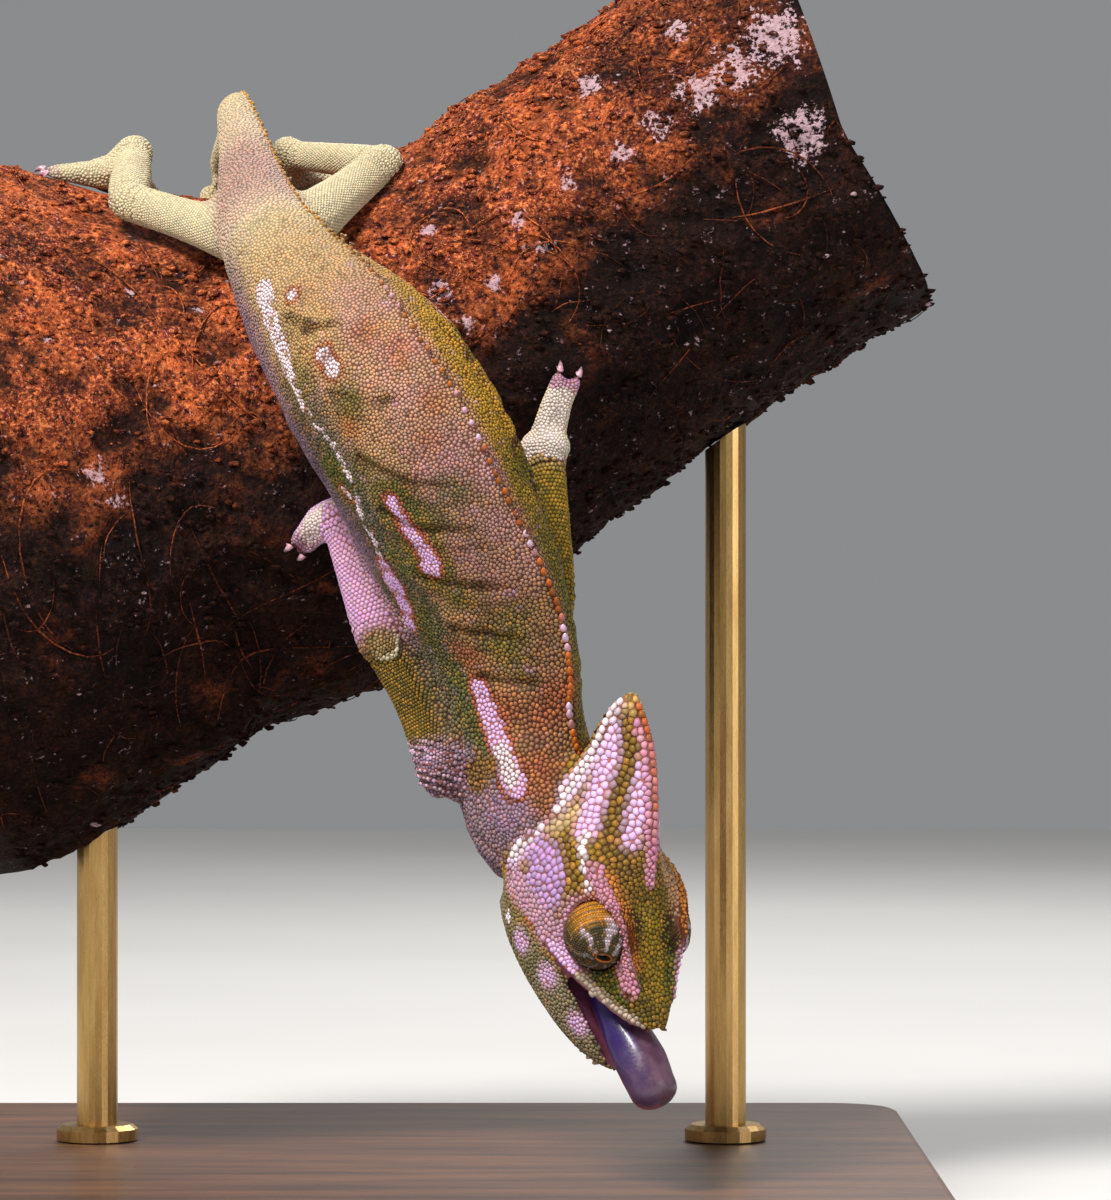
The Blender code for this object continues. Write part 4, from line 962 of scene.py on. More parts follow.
HEAD_LINES = (
    ("white", "both", ((-4.7, 8.8, 8), (-4.8, 8.5, 12), (-4.4, 7.8, 16), (-4.2, 6.4, 21.5)), 0.9, 0.8),
    ("white", "both", ((5.7, 7.8, 20.9), (9, 9, 19.2), (11.4, 9.8, 18), (13.6, 10.1, 16.2)), 0.8, 0.6),
    ("coral", "right", (*BROW, (27.4, 6.6, 8.3), (30, 5.6, 5.8)), 1.3, 0.9),
    # The left brow, which faces the light, is laid amber instead of coral: painted warm light.
    ("amber", "left", ((10, 9.4, 20), *BROW), 1.6, 1.2),
    ("rose", "left", ((25, 7.7, 11.5), (27.4, 6.6, 8.3), (31, 5.2, 5)), 1.0, 1.0),
    ("ember", "both", ((-4, 0, 43.3), (3, 0, 40), (8.5, 0, 35), (13.5, 0, 28.4), (17, 0, 22)), 0.5, 0.6),
    ("coral", "both", ((-2, 0.9, 41), (3, 0.9, 38.6), (8.5, 0.9, 33.4), (13.5, 0.8, 27), (18, 0.6, 20.4)),
     0.6, 0.6),
    ("white", "both", ((-4.2, 6.4, 21.5), (-4.6, 4.4, 28), (-5.6, 3.2, 35), (-6.6, 2.0, 41)), 0.55, 0.7),
    ("lilac", "both", ((13.5, 10, 1.9), (19, 9.2, 1.9)), 0.9, 0.8),
    ("lip", "both", ((21, 8.6, 1.2), (28.4, 6.5, 1.1), (34, 3.6, 1.0)), 0.7, 0.8),
    ("ember", "both", ((-3.5, 9.5, 2.6), (2, 10.4, 1.6), (9, 10.5, 1.2)), 0.35, 0.5),
)
JAW_LILAC = ((14.5, 8.4, -4.2), (24, 6, -7.5), (6, 9, -3.5))


def thin(points, reach):
    """Numbers of the places kept so that none lies within the reach of an earlier one."""
    tree = tree_of(points)
    kept, dropped = [], np.zeros(len(points), bool)
    for i, place in enumerate(points.tolist()):
        if not dropped[i]:
            kept.append(i)
            dropped[[j for _, j, _ in tree.find_range(place, reach[i])]] = True
    return np.array(kept)


def settle(places, seeds, fixed):
    """Moves seeds to the middle of the places nearest to them, so that they spread evenly."""
    everyone = np.concatenate((fixed, seeds))
    owner = nearest(tree_of(everyone), places) - len(fixed)
    own = owner >= 0
    count = np.bincount(owner[own], minlength=len(seeds))
    middle = np.stack([np.bincount(owner[own], places[own, k], len(seeds)) for k in range(3)], axis=1)
    middle = middle / np.maximum(count, 1)[:, None]
    middle[count == 0] = seeds[count == 0]
    return places[nearest(tree_of(places), middle)]


def ring_places(centre, left, up, reach, spacing, odd):
    """Evenly spaced places round an egg-shaped section."""
    turn = np.linspace(0, 2 * math.pi, 97)
    back, belly, side = reach
    rise = np.where(np.cos(turn) > 0, back, belly) * np.cos(turn)
    ring = centre + np.outer(np.sin(turn) * side, left) + np.outer(rise, up)
    lengths = lengths_along(ring)
    count = max(6, round(lengths[-1] / spacing))
    return read_along(ring, lengths, (np.arange(count) + 0.5 * odd) / count * lengths[-1])


class Coat:
    """The roots of all scales: places, sizes and heights, sorted by region."""

    def __init__(self, skin, marks):
        self.skin, self.marks = skin, marks
        self.tree = tree_of(skin.points)
        big, rise = self.large_rows()
        rings = self.rows_round_the_body()
        roots = np.concatenate((big, rings))
        spacing = self.spacing(self.rows_at(roots))
        reach = np.concatenate((np.full(len(big), BEAD_REACH), spacing[len(big):] * 0.56))
        kept = thin(roots, reach)
        large = kept[kept < len(big)]
        fixed = roots[kept]
        loose, loose_spacing = self.loose_places(fixed)
        chosen = thin(loose, loose_spacing * 0.9)
        seeds = settle(loose, loose[chosen], fixed)
        seeds = settle(loose, seeds, fixed)
        self.roots = np.concatenate((fixed, seeds))
        self.rows = self.rows_at(self.roots)
        spacing = self.spacing(self.rows)
        self.high = spacing * self.steepness(self.rows)
        self.high[:len(large)] = rise[large]
        self.most = spacing * SCALE_WIDTH
        self.most[:len(large)] = BEAD_WIDTH
        self.most *= 1 - np.clip(skin.edge[self.rows] * 3, 0, 0.5)
        owner = skin.owner[self.rows]
        # How strongly the grooves round each scale carry painted shade: fully on the body.
        self.deep = np.where(np.isin(owner, numbers(BODY_NODES)), 1.0, 0.66)
        self.leave_bare_places()

    def rows_at(self, places):
        return nearest(self.tree, places)

    def spacing(self, rows):
        """How far apart scales stand at some points of the skin."""
        skin = self.skin
        gap = outline(TRUNK_SPACING, skin.s[rows]) * MM
        face = folded(skin.face[rows])
        x, _, z = face.T
        owner = skin.owner[rows]
        skull = owner == FLESH.index("head")
        casque = within((z - 3) / 8) * within((17 - x) / 6)
        gap[skull] = (SNOUT_SPACING + (CASQUE_SPACING - SNOUT_SPACING) * casque[skull]) * MM
        eye = sizes_of(face - EYE_PLACE)
        gap[skull & (eye < EYE_RADIUS + 2)] = SNOUT_SPACING * 0.85 * MM
        for nodes, spacing in OTHER_SPACING.items():
            gap[np.isin(owner, numbers(nodes.split()))] = spacing * MM
        tip = owner == FLESH.index("tail_tip")
        gap[tip] = (0.45 + 0.1 * np.clip(skin.spine.length / MM - skin.s[rows][tip], 0, 35) / 9) * MM
        return gap

    def steepness(self, rows):
        """How high scales stand for their spacing: bold on the trunk and casque, faint on the legs."""
        owner = self.skin.owner[rows]
        steep = np.full(len(rows), 0.26)
        steep[np.isin(owner, numbers((*LIMBS, *FEET, "lower_jaw")))] = 0.2
        steep[owner == FLESH.index("head")] = 0.24
        return steep * dice.uniform(0.85, 1.15, len(rows))

    def large_rows(self):
        """Beads of the casque's rim, the crest, the brow and the lips."""
        head, places, rises = self.skin.head, [], []
        for line, spacing, rise, paired in BEAD_ROWS:
            line = np.array(line, float)
            lengths = lengths_along(line)
            row = read_along(line, lengths, np.linspace(0, lengths[-1], round(lengths[-1] / spacing)))
            for side in (1, -1) if paired else (1,):
                for place in head.out(row * (1, side, 1)):
                    spot, _, _, _ = self.skin.bvh.find_nearest(Vector(place))
                    places.append(tuple(spot))
                    rises.append(rise * MM * random.uniform(0.85, 1.15))
        return np.array(places), np.array(rises)

    def rows_round_the_body(self):
        """Staggered rows of scales across the trunk, the tail and each limb."""
        spine, found = self.skin.spine, []
        s, odd = 0.5 * MM, 0
        while s < spine.length - MM:
            i = spine.row(s / MM)
            girth = spine.reach[i].mean()
            spacing = float(outline(TRUNK_SPACING, s / MM)) * MM
            if s > TORSO_END:
                spacing = min(spacing, 0.42 * MM + 0.12 * girth)
            section = (spine.centre[i], spine.left[i], spine.up[i], spine.reach[i])
            found += self.snapped(ring_places(*section, spacing * 1.06, odd), BODY_NODES)
            s, odd = s + spacing * ROW_STEP, 1 - odd
        for node, (start, end, radius) in LIMBS.items():
            a, b = np.array(start) * MM, np.array(end) * MM
            way = unit(b - a)
            side = unit(np.cross(way, (0, 1, 0)))
            spacing = next(gap for nodes, gap in OTHER_SPACING.items() if node in nodes.split()) * MM
            steps = round(np.linalg.norm(b - a) / (spacing * ROW_STEP))
            for k in range(steps):
                place = a + (b - a) * (k + 0.5) / steps
                ring = ring_places(place, side, np.cross(side, way), (radius * MM,) * 3, spacing, k % 2)
                found += self.snapped(ring, (node,))
        return np.array(found)

    def snapped(self, ring, nodes):
        """The nearest places on the skin, where that part of it is close by."""
        allowed, found = numbers(nodes), []
        for place in ring:
            spot, _, face, gap = self.skin.bvh.find_nearest(Vector(place))
            if gap < SNAP_REACH and self.skin.owner[self.skin.faces[face][0]] in allowed:
                found.append(tuple(spot))
        return found

    def loose_places(self, fixed):
        """Places on the head and feet, and wherever the rows leave a gap, with their spacing."""
        skin = self.skin
        corners = skin.points[skin.faces]
        u, v = dice.random((2, len(corners) * PLACES_IN_A_FACE))
        face = np.repeat(np.arange(len(corners)), PLACES_IN_A_FACE)
        a, b, c, d = np.moveaxis(corners[face], 1, 0)
        u, v = u[:, None], v[:, None]
        places = (a * (1 - u) + b * u) * (1 - v) + (d * (1 - u) + c * u) * v
        places = places[dice.permutation(len(places))]
        rows = self.rows_at(places)
        spacing = self.spacing(rows)
        tree = tree_of(fixed)
        gap = np.array([tree.find(place)[2] for place in places.tolist()])
        free = gap > spacing * 0.85
        return places[free], spacing[free]

    def leave_bare_places(self):
        """No scale grows in the mouth, under the eyes' turrets or deep in the nostrils."""
        face = folded(self.skin.face[self.rows])
        bare = self.marks.lining[self.rows] > MOUTH_BARE
        bare |= sizes_of(face - EYE_PLACE) < EYE_RADIUS + 0.25
        bare |= sizes_of(face - NOSTRIL) < 0.9
        for name in ("roots", "rows", "high", "most", "deep"):
            setattr(self, name, getattr(self, name)[~bare])

    def dress(self, material):
        """Joined meshes of scales, region by region."""
        owner = self.skin.owner[self.rows]
        for region, nodes, sides, slot in REGIONS:
            mine = np.flatnonzero(np.isin(owner, numbers(nodes)))
            if region != "head":
                mine = mine[np.argsort(self.skin.s[self.rows[mine]], kind="stable")]
            parts = math.ceil(len(mine) * 3 * sides / TRIANGLES_IN_PIECE)
            for number, some in enumerate(np.array_split(mine, parts)):
                rows = self.rows[some]
                paints = {paint: values[rows] for paint, values in self.marks.layers.items()}
                mesh = scale_mesh(
                    f"scales_{region}_{number + 1}", self.roots[some], self.skin.normals[rows],
                    self.high[some], self.most[some], self.deep[some], self.skin.uv[rows], paints, sides,
                )
                add_piece(mesh.name, mesh, material, slot)


def scale_mesh(name, roots, normals, high, most, deep, uv, paints, sides):
    """Low domes as wide as their neighbours leave them, parted by grooves darkened with painted shade as
    strongly as the depth says.
    """
    tree = tree_of(roots)
    near = np.array([[j for _, j, _ in tree.find_n(place, 9)][1:] for place in roots.tolist()])
    away = roots[near] - roots[:, None]
    first = unit(np.cross(normals, (0.31, 0.17, 0.93)))
    second = np.cross(normals, first)
    flat = np.stack([(away * way[:, None]).sum(axis=-1) for way in (first, second)], axis=-1)
    half = (flat**2).sum(axis=-1) / 2
    ways = circle(sides)
    along = flat @ ways.T
    reach = np.where(along > 1e-6, half[..., None] / np.maximum(along, 1e-6), np.inf).min(axis=1)
    reach = np.clip(reach, most[:, None] * LEAST_REACH, most[:, None])
    out = (first[:, None] * ways[None, :, :1] + second[:, None] * ways[None, :, 1:]) * reach[..., None]
    rise = normals[:, None] * high[:, None, None]
    base = roots[:, None] + out - normals[:, None] * SCALE_SINK
    brow = roots[:, None] + out * BROW_REACH + rise * BROW_RISE
    return domes(name, (base, brow, roots[:, None] + rise), (1.0, 0.7), (1.0, 0.3), roots, deep, uv, paints)


def domes(name, rings, widths, groove_shades, roots, deep, uv, paints):
    """Small domes in one joined mesh, each from its rings of points up to its tip, with painted shade
    darkening the grooves.
    """
    points = np.concatenate(rings, axis=1)
    count, each, _ = points.shape
    rows, sides = len(widths), rings[0].shape[1]
    start = (np.arange(count) * each)[:, None, None]
    walls = grid_faces(rows, sides) + start
    caps = fan(np.arange(sides) + sides * (rows - 1), each - 1) + start
    mesh = mesh_from(name, points.reshape(-1, 3), walls.reshape(-1, 4), caps.reshape(-1, 3))
    shades = np.outer(deep, np.append(np.repeat(groove_shades, sides), 0)).ravel()
    paints = {paint: np.repeat(values, each) for paint, values in paints.items()}
    tones = np.repeat(dice.random(count), each)
    write_marks(mesh, paints, np.zeros(count * each), np.repeat(roots, each, axis=0), shades, tones)
    spread = np.concatenate([circle(sides) * wide for wide in widths] + [[[0, 0]]])
    places = (uv[:, None] + spread[None] * PATCH_REACH).reshape(-1, 2)
    write_uv(mesh, places[corners_of(mesh)])
    return mesh


def write_uv(mesh, places):
    """A map named OFBake from a flat place for each corner of the faces."""
    write(mesh.uv_layers.new(name="OFBake").data, "uv", places)


def write_marks(mesh, paints, lining, spots, groove_shades, tones):
    """Keeps the paints and the grain of each point where the skin's material reads them."""
    blank = np.zeros(len(mesh.vertices))
    for name, trio in PAINT_TRIOS.items():
        note(mesh, name, np.stack([paints.get(paint, blank) for paint in trio.split()], axis=1))
    note(mesh, "detail", np.stack((tones, groove_shades, lining), axis=1))
    note(mesh, "spot", spots)


PAINT_TRIOS = {"warm": "orange rust cream", "cool": "lilac white grey", "leafy": "green yellow dark"}

# Spacing of scales in millimetres: along the trunk, and on the head, jaw, limbs and feet
TRUNK_SPACING = ((0, 0.76), (20, 0.78), (50, 0.66), (75, 0.58), (110, 0.58), (150, 0.64))
CASQUE_SPACING, SNOUT_SPACING = 1.2, 0.76
OTHER_SPACING = {
    "lower_jaw": 0.64,
    "foreleg_right_upper": 0.74,
    "foreleg_right_lower foreleg_left_upper foreleg_left_lower": 1.0,
    "hindleg_right_upper hindleg_right_lower hindleg_left_upper hindleg_left_lower": 0.72,
    "forefoot_right forefoot_left hindfoot_right hindfoot_left": 0.56,
    "tail_base tail_middle": 0.66,
}
ROW_STEP = 0.8  # from one row of scales to the next, for their spacing along the row
SNAP_REACH = 1.9 * MM  # how far from the skin a place in a row may lie
SCALE_WIDTH = 0.78  # a scale's greatest reach, for its spacing
LEAST_REACH = 0.35  # the share of that reach which a scale always has
BROW_REACH, BROW_RISE = 0.88, 0.48  # where a scale's side turns into its top
BEAD_REACH, BEAD_WIDTH = 0.75 * MM, 1.0 * MM  # room kept round a larger bead, and its greatest reach
PLACES_IN_A_FACE = 4
PATCH_REACH = 0.0015
REGIONS = (
    ("head", ("head", "lower_jaw"), 8, "head"),
    ("trunk", ("neck", "torso"), 6, "flank"),
    ("tail", TAIL_NODES, 6, "tail"),
    ("forelegs", tuple(n for n in (*LIMBS, *FEET) if n.startswith("fore")), 6, "limb"),
    ("hindlegs", tuple(n for n in (*LIMBS, *FEET) if n.startswith("hind")), 6, "limb"),
)
# Rows of larger beads on the head: line in the head's frame, spacing, height, on both sides
BEAD_ROWS = (
    (((-4.5, 9.4, 2), (-5, 8.8, 5), (-4.9, 8.6, 12), (-5.1, 7.6, 19), (-5.7, 5.5, 24)), 1.3, 0.42, True),
    (((-5.7, 5.5, 24), (-5.2, 4, 30), (-6.2, 3, 36), (-6.9, 2.4, 40), (-6.2, 0.9, 43)), 1.4, 0.5, True),
    (((-3.4, 8, 14), (-3.3, 6.9, 19), (-3.2, 5.2, 25), (-3.6, 4, 31), (-4.6, 3, 37)), 1.4, 0.36, True),
    (((-5.5, 0, 43.3), (-3, 0, 42.5), (3, 0, 39.3), (8.5, 0, 34.2), (13.5, 0, 27.6), (18.5, 0, 20.4)),
     1.45, 0.6, False),
    (((7, 9.2, 20), (12, 10, 19.6), (18, 10, 17.6), (25.8, 7.4, 12), (32, 4.4, 5.6)), 1.4, 0.42, True),
    (((-2, 10.2, 5), (5, 11.2, 3.2), (11, 10.8, 1.8)), 1.25, 0.36, True),
    (((12, 10.4, 0.7), (18, 9.4, 0.4), (26, 7.3, 0.4), (32, 4.9, 0.4), (35, 2.4, 0.6)), 1.15, 0.3, True),
    (((3, 9.4, -1), (10, 9.5, -1.2), (19, 7.9, -3.6), (27, 5.3, -7.6), (31, 3, -10)), 1.15, 0.28, True),
)


def cones(name, roots, ups, leans, widths, heights, along, uv, paints, sides=8):
    """Rounded cones in one joined mesh, such as the crest's beads."""
    across = unit(np.cross(ups, along))
    length = np.cross(across, ups)
    ways = circle(sides)
    round_it = length[:, None] * ways[None, :, :1] + across[:, None] * ways[None, :, 1:] * 1.1
    rings = []
    for rise, wide in CONE_PROFILE:
        middle = roots + ups * (heights * rise)[:, None] + leans * (max(rise, 0) ** 1.4 * heights)[:, None]
        rings.append(middle[:, None] + round_it * (widths * wide)[:, None, None])
    rings.append((roots + ups * heights[:, None] + leans * heights[:, None])[:, None])
    wides = [wide for _, wide in CONE_PROFILE]
    groove_shades = [max(0.0, 0.9 - rise) for rise, _ in CONE_PROFILE]
    return domes(name, rings, wides, groove_shades, roots, np.ones(len(roots)), uv, paints)


CONE_PROFILE = ((-0.25, 0.86), (0.1, 1.0), (0.4, 0.9), (0.7, 0.62), (0.9, 0.3))  # share of height, of width


def add_crest(skin, coat, material):
    """The row of beads along the back, from the neck to the first half of the tail."""
    spine = skin.spine
    s, places = CREST_FROM, []
    while s < CREST_TO:
        places.append(s)
        s += CREST_SPACING * (1 - 0.4 * s / CREST_TO) * random.uniform(0.92, 1.08)
    places = np.array(places)
    rows = np.array([spine.row(s) for s in places])
    fall = np.interp(places, (0, 60, 110, CREST_TO), (1.0, 0.72, 0.42, 0.18))
    warm = np.interp(places, (74, 124), (1, 0))
    heights = CREST_HEIGHT * fall * dice.uniform(0.85, 1.15, len(places))
    roots = np.array([tuple(skin.bvh.find_nearest(Vector(spine.at(s, 0)))[0]) for s in places])
    pale = within(np.sin(places / 3.1) * 1.5 - 0.5 + dice.uniform(-0.4, 0.4, len(places)))
    paints = {
        "orange": 0.25 + 0.7 * warm,
        "white": pale * 0.6 * warm,
        "lilac": pale * 0.8 * warm,
        "cream": (1 - warm) * 0.4,
        "yellow": within(dice.uniform(0, 0.5, len(places)) + 0.4 * (1 - warm)),
    }
    mesh = cones(
        "crest_beads", roots, spine.up[rows], -spine.forward[rows] * 0.3, CREST_WIDTH * (0.4 + 0.6 * fall),
        heights, spine.forward[rows], skin.uv[coat.rows_at(roots)], paints,
    )
    add_piece(mesh.name, mesh, material, "flank")


def add_chin_crest(skin, coat, material):
    """Small pale spines under the chin and down the throat."""
    head, spine = skin.head, skin.spine
    xs = np.arange(3, 29, 1.9)
    chin = head.out(np.stack((xs, xs * 0, outline(JAW_CHIN, xs)), axis=1))
    throat = np.array([spine.at(s, 180) for s in np.arange(6, 34, 2.3)])
    places = np.concatenate((chin, throat))
    found = [skin.bvh.find_nearest(Vector(place)) for place in places]
    roots = np.array([tuple(spot) for spot, _, _, _ in found])
    ups = unit(np.array([tuple(normal) for _, normal, _, _ in found]))
    count = len(roots)
    first, last = np.linspace(1.5, 1.0, len(chin))[::-1], np.linspace(1.4, 0.7, len(throat))
    heights = np.concatenate((first, last)) * MM
    back = np.tile(-head.axes[0], (count, 1))
    paints = {
        "cream": np.full(count, 0.7), "green": np.full(count, 0.3), "white": dice.uniform(0, 0.5, count),
    }
    widths = np.full(count, 0.75 * MM)
    uv = skin.uv[coat.rows_at(roots)]
    mesh = cones("chin_spines", roots, ups, back * 0.5, widths, heights, back, uv, paints, 7)
    add_piece(mesh.name, mesh, material, "head")


CREST_FROM, CREST_TO, CREST_SPACING = 9.0, 232.0, 2.1
CREST_HEIGHT, CREST_WIDTH = 1.9 * MM, 0.68 * MM


def add_eye(side, skin, scales, ball):
    """A turret of fused lids with its folds and fine scales, and the eyeball behind its opening."""
    name = "left" if side > 0 else "right"
    head = skin.head
    gaze = unit(EYE_GAZE[name])
    across = unit(np.cross(gaze, (0, 0, 1)))
    up = np.cross(across, gaze)
    place = EYE_PLACE * (1, side, 1)
    share = np.linspace(0, 1, TURRET_RINGS)
    profile = smooth_through(TURRET_PROFILE, range(len(TURRET_PROFILE)), TURRET_RINGS)
    turn = turns_of(TURRET_SIDES)
    folds = 0.014 * np.sin(share * 2 * math.pi * 15) * fade(abs(share - 0.36), 0.16, 0.12)
    folds -= 0.02 * fade(abs(share - 0.88), 0.006, 0.03)
    grid = []
    for (rise, wide), fold, t in zip(profile, folds, share):
        round_it = np.outer(np.cos(turn), up) * slit(t) + np.outer(np.sin(turn), across)
        grid.append(place + (gaze * rise + round_it * (wide + fold)) * EYE_RADIUS)
    points = head.out(np.concatenate(grid))
    mesh = mesh_from(f"eye_{name}", points, grid_faces(TURRET_RINGS, TURRET_SIDES))
    shares, turns = np.repeat(share, TURRET_SIDES), np.tile(turn, TURRET_RINGS)
    count = len(points)
    paints = turret_paints(shares, turns, points)
    # The turret carries a little painted groove shade all over.
    write_marks(mesh, paints, np.zeros(count), points, np.full(count, 0.35), np.full(count, 0.5))
    write_uv(mesh, turret_uv(turns, shares)[corners_of(mesh)])
    add_piece(mesh.name, mesh, scales, "eye", f"eye_{name}")

    roots, normals, places = [], [], []
    steps = lengths_along(profile) * EYE_RADIUS
    for k, at in enumerate(np.arange(0.8, steps[-1] * TURRET_SCALED, LID_SPACING)):
        t = float(np.interp(at, steps, share))
        rise, wide = (np.interp(t, share, profile[:, n]) for n in range(2))
        ahead = [np.interp(t + 0.02, share, profile[:, n]) for n in range(2)]
        slope = unit(np.array((ahead[0] - rise, ahead[1] - wide)))
        ring = round(2 * math.pi * wide * EYE_RADIUS / LID_SPACING)
        for j in range(ring):
            angle = 2 * math.pi * (j + 0.5 * (k % 2)) / ring
            out = up * math.cos(angle) * slit(t) + across * math.sin(angle)
            roots.append(place + (gaze * rise + out * wide) * EYE_RADIUS)
            normals.append(out * slope[0] - gaze * slope[1])
            places.append((t, angle))
    roots, normals, places = head.out(roots), head.turned(normals), np.array(places)
    count = len(roots)
    # The lid scales' grooves carry most of the painted shade.
    high, most, deep = (np.full(count, value) for value in (0.1 * MM, 0.36 * MM, 0.8))
    mesh = scale_mesh(
        f"eye_scales_{name}", roots, normals, high, most, deep, turret_uv(places[:, 1], places[:, 0]),
        turret_paints(*places.T, roots), 6,
    )
    add_piece(mesh.name, mesh, scales, "eye")

    globe = sphere_mesh(f"eyeball_{name}", 0.89 * EYE_RADIUS * MM, 20, 32)
    axes = np.stack((across, up, gaze)) @ head.axes
    ball_points = read(globe.vertices, "co", 3)
    off_axis = np.degrees(np.arccos(np.clip(unit(ball_points)[:, 2], -1, 1)))
    note(globe, "detail", one_value(off_axis / 90))
    write(globe.vertices, "co", head.out(place) + ball_points @ axes)
    add_piece(globe.name, globe, ball, "eye")


def slit(share):
    """How flat the turret's rings are: its opening is wider than it is high."""
    return 1 - 0.5 * within((share - 0.78) / 0.1)


def turret_uv(turn, share):
    """The turret's own chart: round it and along it, a little inside the edges."""
    return np.stack((turn / (2 * math.pi), share), axis=1) * 0.98 + 0.01


def turret_paints(share, turn, points):
    """Gold with dark rings above, pale and dark blocks round the middle, an orange rim, and painted shade on
    the lower side.
    """
    above = within(0.35 + 1.5 * np.cos(turn))
    ring = within(np.sin(share * 2 * math.pi * 15) * 1.6 - 0.1)
    gold = fade(share, 0.32, 0.12) * above
    block = np.sin(turn * 7 + 3 * mottle(points, 3 * MM, 8)) + 0.9 * mottle(points, 1.1 * MM, 9)
    middle = fade(abs(share - 0.56), 0.22, 0.06)
    pale = middle * within(block * 1.5 - 0.5) * (1 - 0.6 * ring) * (0.3 + 0.6 * above)
    rim = fade(abs(share - 0.885), 0.022, 0.02)
    ground = (1 - gold) * (1 - rim)
    return {
        "orange": within(gold * (0.4 - 0.3 * ring) + rim * 0.95),
        "yellow": within(gold * 0.85 + 0.2 * ground),
        "rust": gold * ring * 0.25,
        "green": ground * 0.8,
        # Extra dark on the lower side of the turret is painted shade.
        "dark": within(ground * (0.84 + 0.4 * fade(above, 0, 0.5) + 0.2 * ring - pale) + gold * ring * 0.75),
        "lilac": pale * 0.5,
        "white": pale * 0.62,
    }


def sphere_mesh(name, radius, rings, sides):
    """A sphere about the origin, its poles on the third axis."""
    rise = np.linspace(0.02, math.pi - 0.02, rings)
    ring, count = circle(sides), rings * sides
    points = [np.column_stack((ring * math.sin(a), np.full(sides, math.cos(a)))) for a in rise]
    points = np.concatenate(points + [[[0, 0, 1]], [[0, 0, -1]]]) * radius
    k = np.arange(sides)
    caps = np.concatenate((fan(k, count)[:, (1, 0, 2)], fan(k + count - sides, count + 1)))
    return mesh_from(name, points, grid_faces(rings, sides)[:, ::-1], caps)


TURRET_RINGS, TURRET_SIDES = 64, 84
TURRET_SCALED = 0.9  # the share of the turret's side that carries scales
LID_SPACING = 0.5
TURRET_PROFILE = (
    (-0.62, 0.72), (-0.4, 0.9), (-0.12, 1.0), (0.16, 1.0), (0.38, 0.93), (0.56, 0.83), (0.7, 0.7),
    (0.82, 0.55), (0.9, 0.42), (0.965, 0.33), (0.985, 0.27), (0.95, 0.235), (0.84, 0.22),
)


def add_tongue(head, material):
    """The tongue's wet, rounded pad, with faint wrinkles and a hollow at its tip."""
    rows = smooth_through(TONGUE, [x for x, _, _ in TONGUE], 46)
    last_x, last_z, last_r = rows[-1]
    for turn in np.radians((78, 64, 50, 37, 25, 14, 6)):
        reach = last_r * 0.88 * math.cos(turn)
        rows = np.vstack((rows, (last_x + reach, last_z - reach * 0.25, last_r * math.sin(turn))))
    cosine, sine = circle(TONGUE_SIDES).T
    round_it = np.outer(sine, (0, 1, 0)) + np.outer(cosine * 0.95, (0.24, 0, 0.97))
    grid, sides = [], []
    for k, (x, z, r) in enumerate(rows):
        tip = max(0.0, 1 - (len(rows) - 1 - k) / 9)
        grid.append(np.array((x - TONGUE_HOLLOW * tip**3, 0, z)) + round_it * r)
        sides.append(np.column_stack((sine, cosine, np.full(TONGUE_SIDES, k / len(rows)))))
    points, sides = np.concatenate(grid), np.concatenate(sides)
    wrinkle = mottle(points * (0.5, 1, 1), 2.2, 4)
    middles = np.repeat([[x, 0, z] for x, z, _ in rows], TONGUE_SIDES, axis=0)
    points += (points - middles) * (wrinkle * 0.05)[:, None]
    count, k = len(points), np.arange(TONGUE_SIDES)
    (x, z, _), (root_x, root_z, _) = rows[-1], rows[0]
    points = head.out(np.vstack((points, (x - TONGUE_HOLLOW, 0, z), (root_x, 0, root_z))))
    cap, root = fan(k + count - TONGUE_SIDES, count), fan(k, count + 1)[:, (1, 0, 2)]
    mesh = mesh_from("tongue_pad", points, grid_faces(len(rows), TONGUE_SIDES), cap, root)
    note(mesh, "detail", np.vstack((sides, (0, 0, 1), (0, 0, 0))))
    add_piece(mesh.name, mesh, material, "tongue", "tongue")


TONGUE_SIDES = 48
TONGUE_HOLLOW = 0.9  # depth of the hollow at the tip, in millimetres


def branch_station(x):
    """Middle height and radius of the branch at x, eased as in the solids."""
    return tuple(eased(pairs, x / MM) * MM for pairs in (BRANCH_HEIGHT, BRANCH_RADIUS))


def eased(pairs, place):
    """An outline's value at a distance, eased between its pairs."""
    if place <= pairs[0][0] or place >= pairs[-1][0]:
        return pairs[0][1] if place <= pairs[0][0] else pairs[-1][1]
    i = max(k for k in range(len(pairs) - 1) if pairs[k][0] < place)
    (a, p), (b, q) = pairs[i], pairs[i + 1]
    before, after = pairs[max(0, i - 1)], pairs[min(len(pairs) - 1, i + 2)]
    m, n = (q - before[1]) / (b - before[0]), (after[1] - p) / (after[0] - a)
    t = (place - a) / (b - a)
    h10, h01, h11 = t**3 - 2 * t**2 + t, -2 * t**3 + 3 * t**2, t**3 - t**2
    return p * (1 - h01) + h10 * (b - a) * m + h01 * q + h11 * (b - a) * n


class Branch:
    """The branch's surface, for the toes and claws that stand on it."""

    def __init__(self):
        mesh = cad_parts["perch_branch"].data
        faces = [tuple(face.vertices) for face in mesh.polygons]
        self.bvh = BVHTree.FromPolygons([v.co for v in mesh.vertices], faces)

    def above(self, point, height):
        """The point moved to the given height above the bark."""
        place, normal, _, _ = self.bvh.find_nearest(point)
        out = (place - Vector((place.x, BRANCH_DEPTH, branch_station(place.x)[0]))).normalized()
        return place + (normal + out).normalized() * height


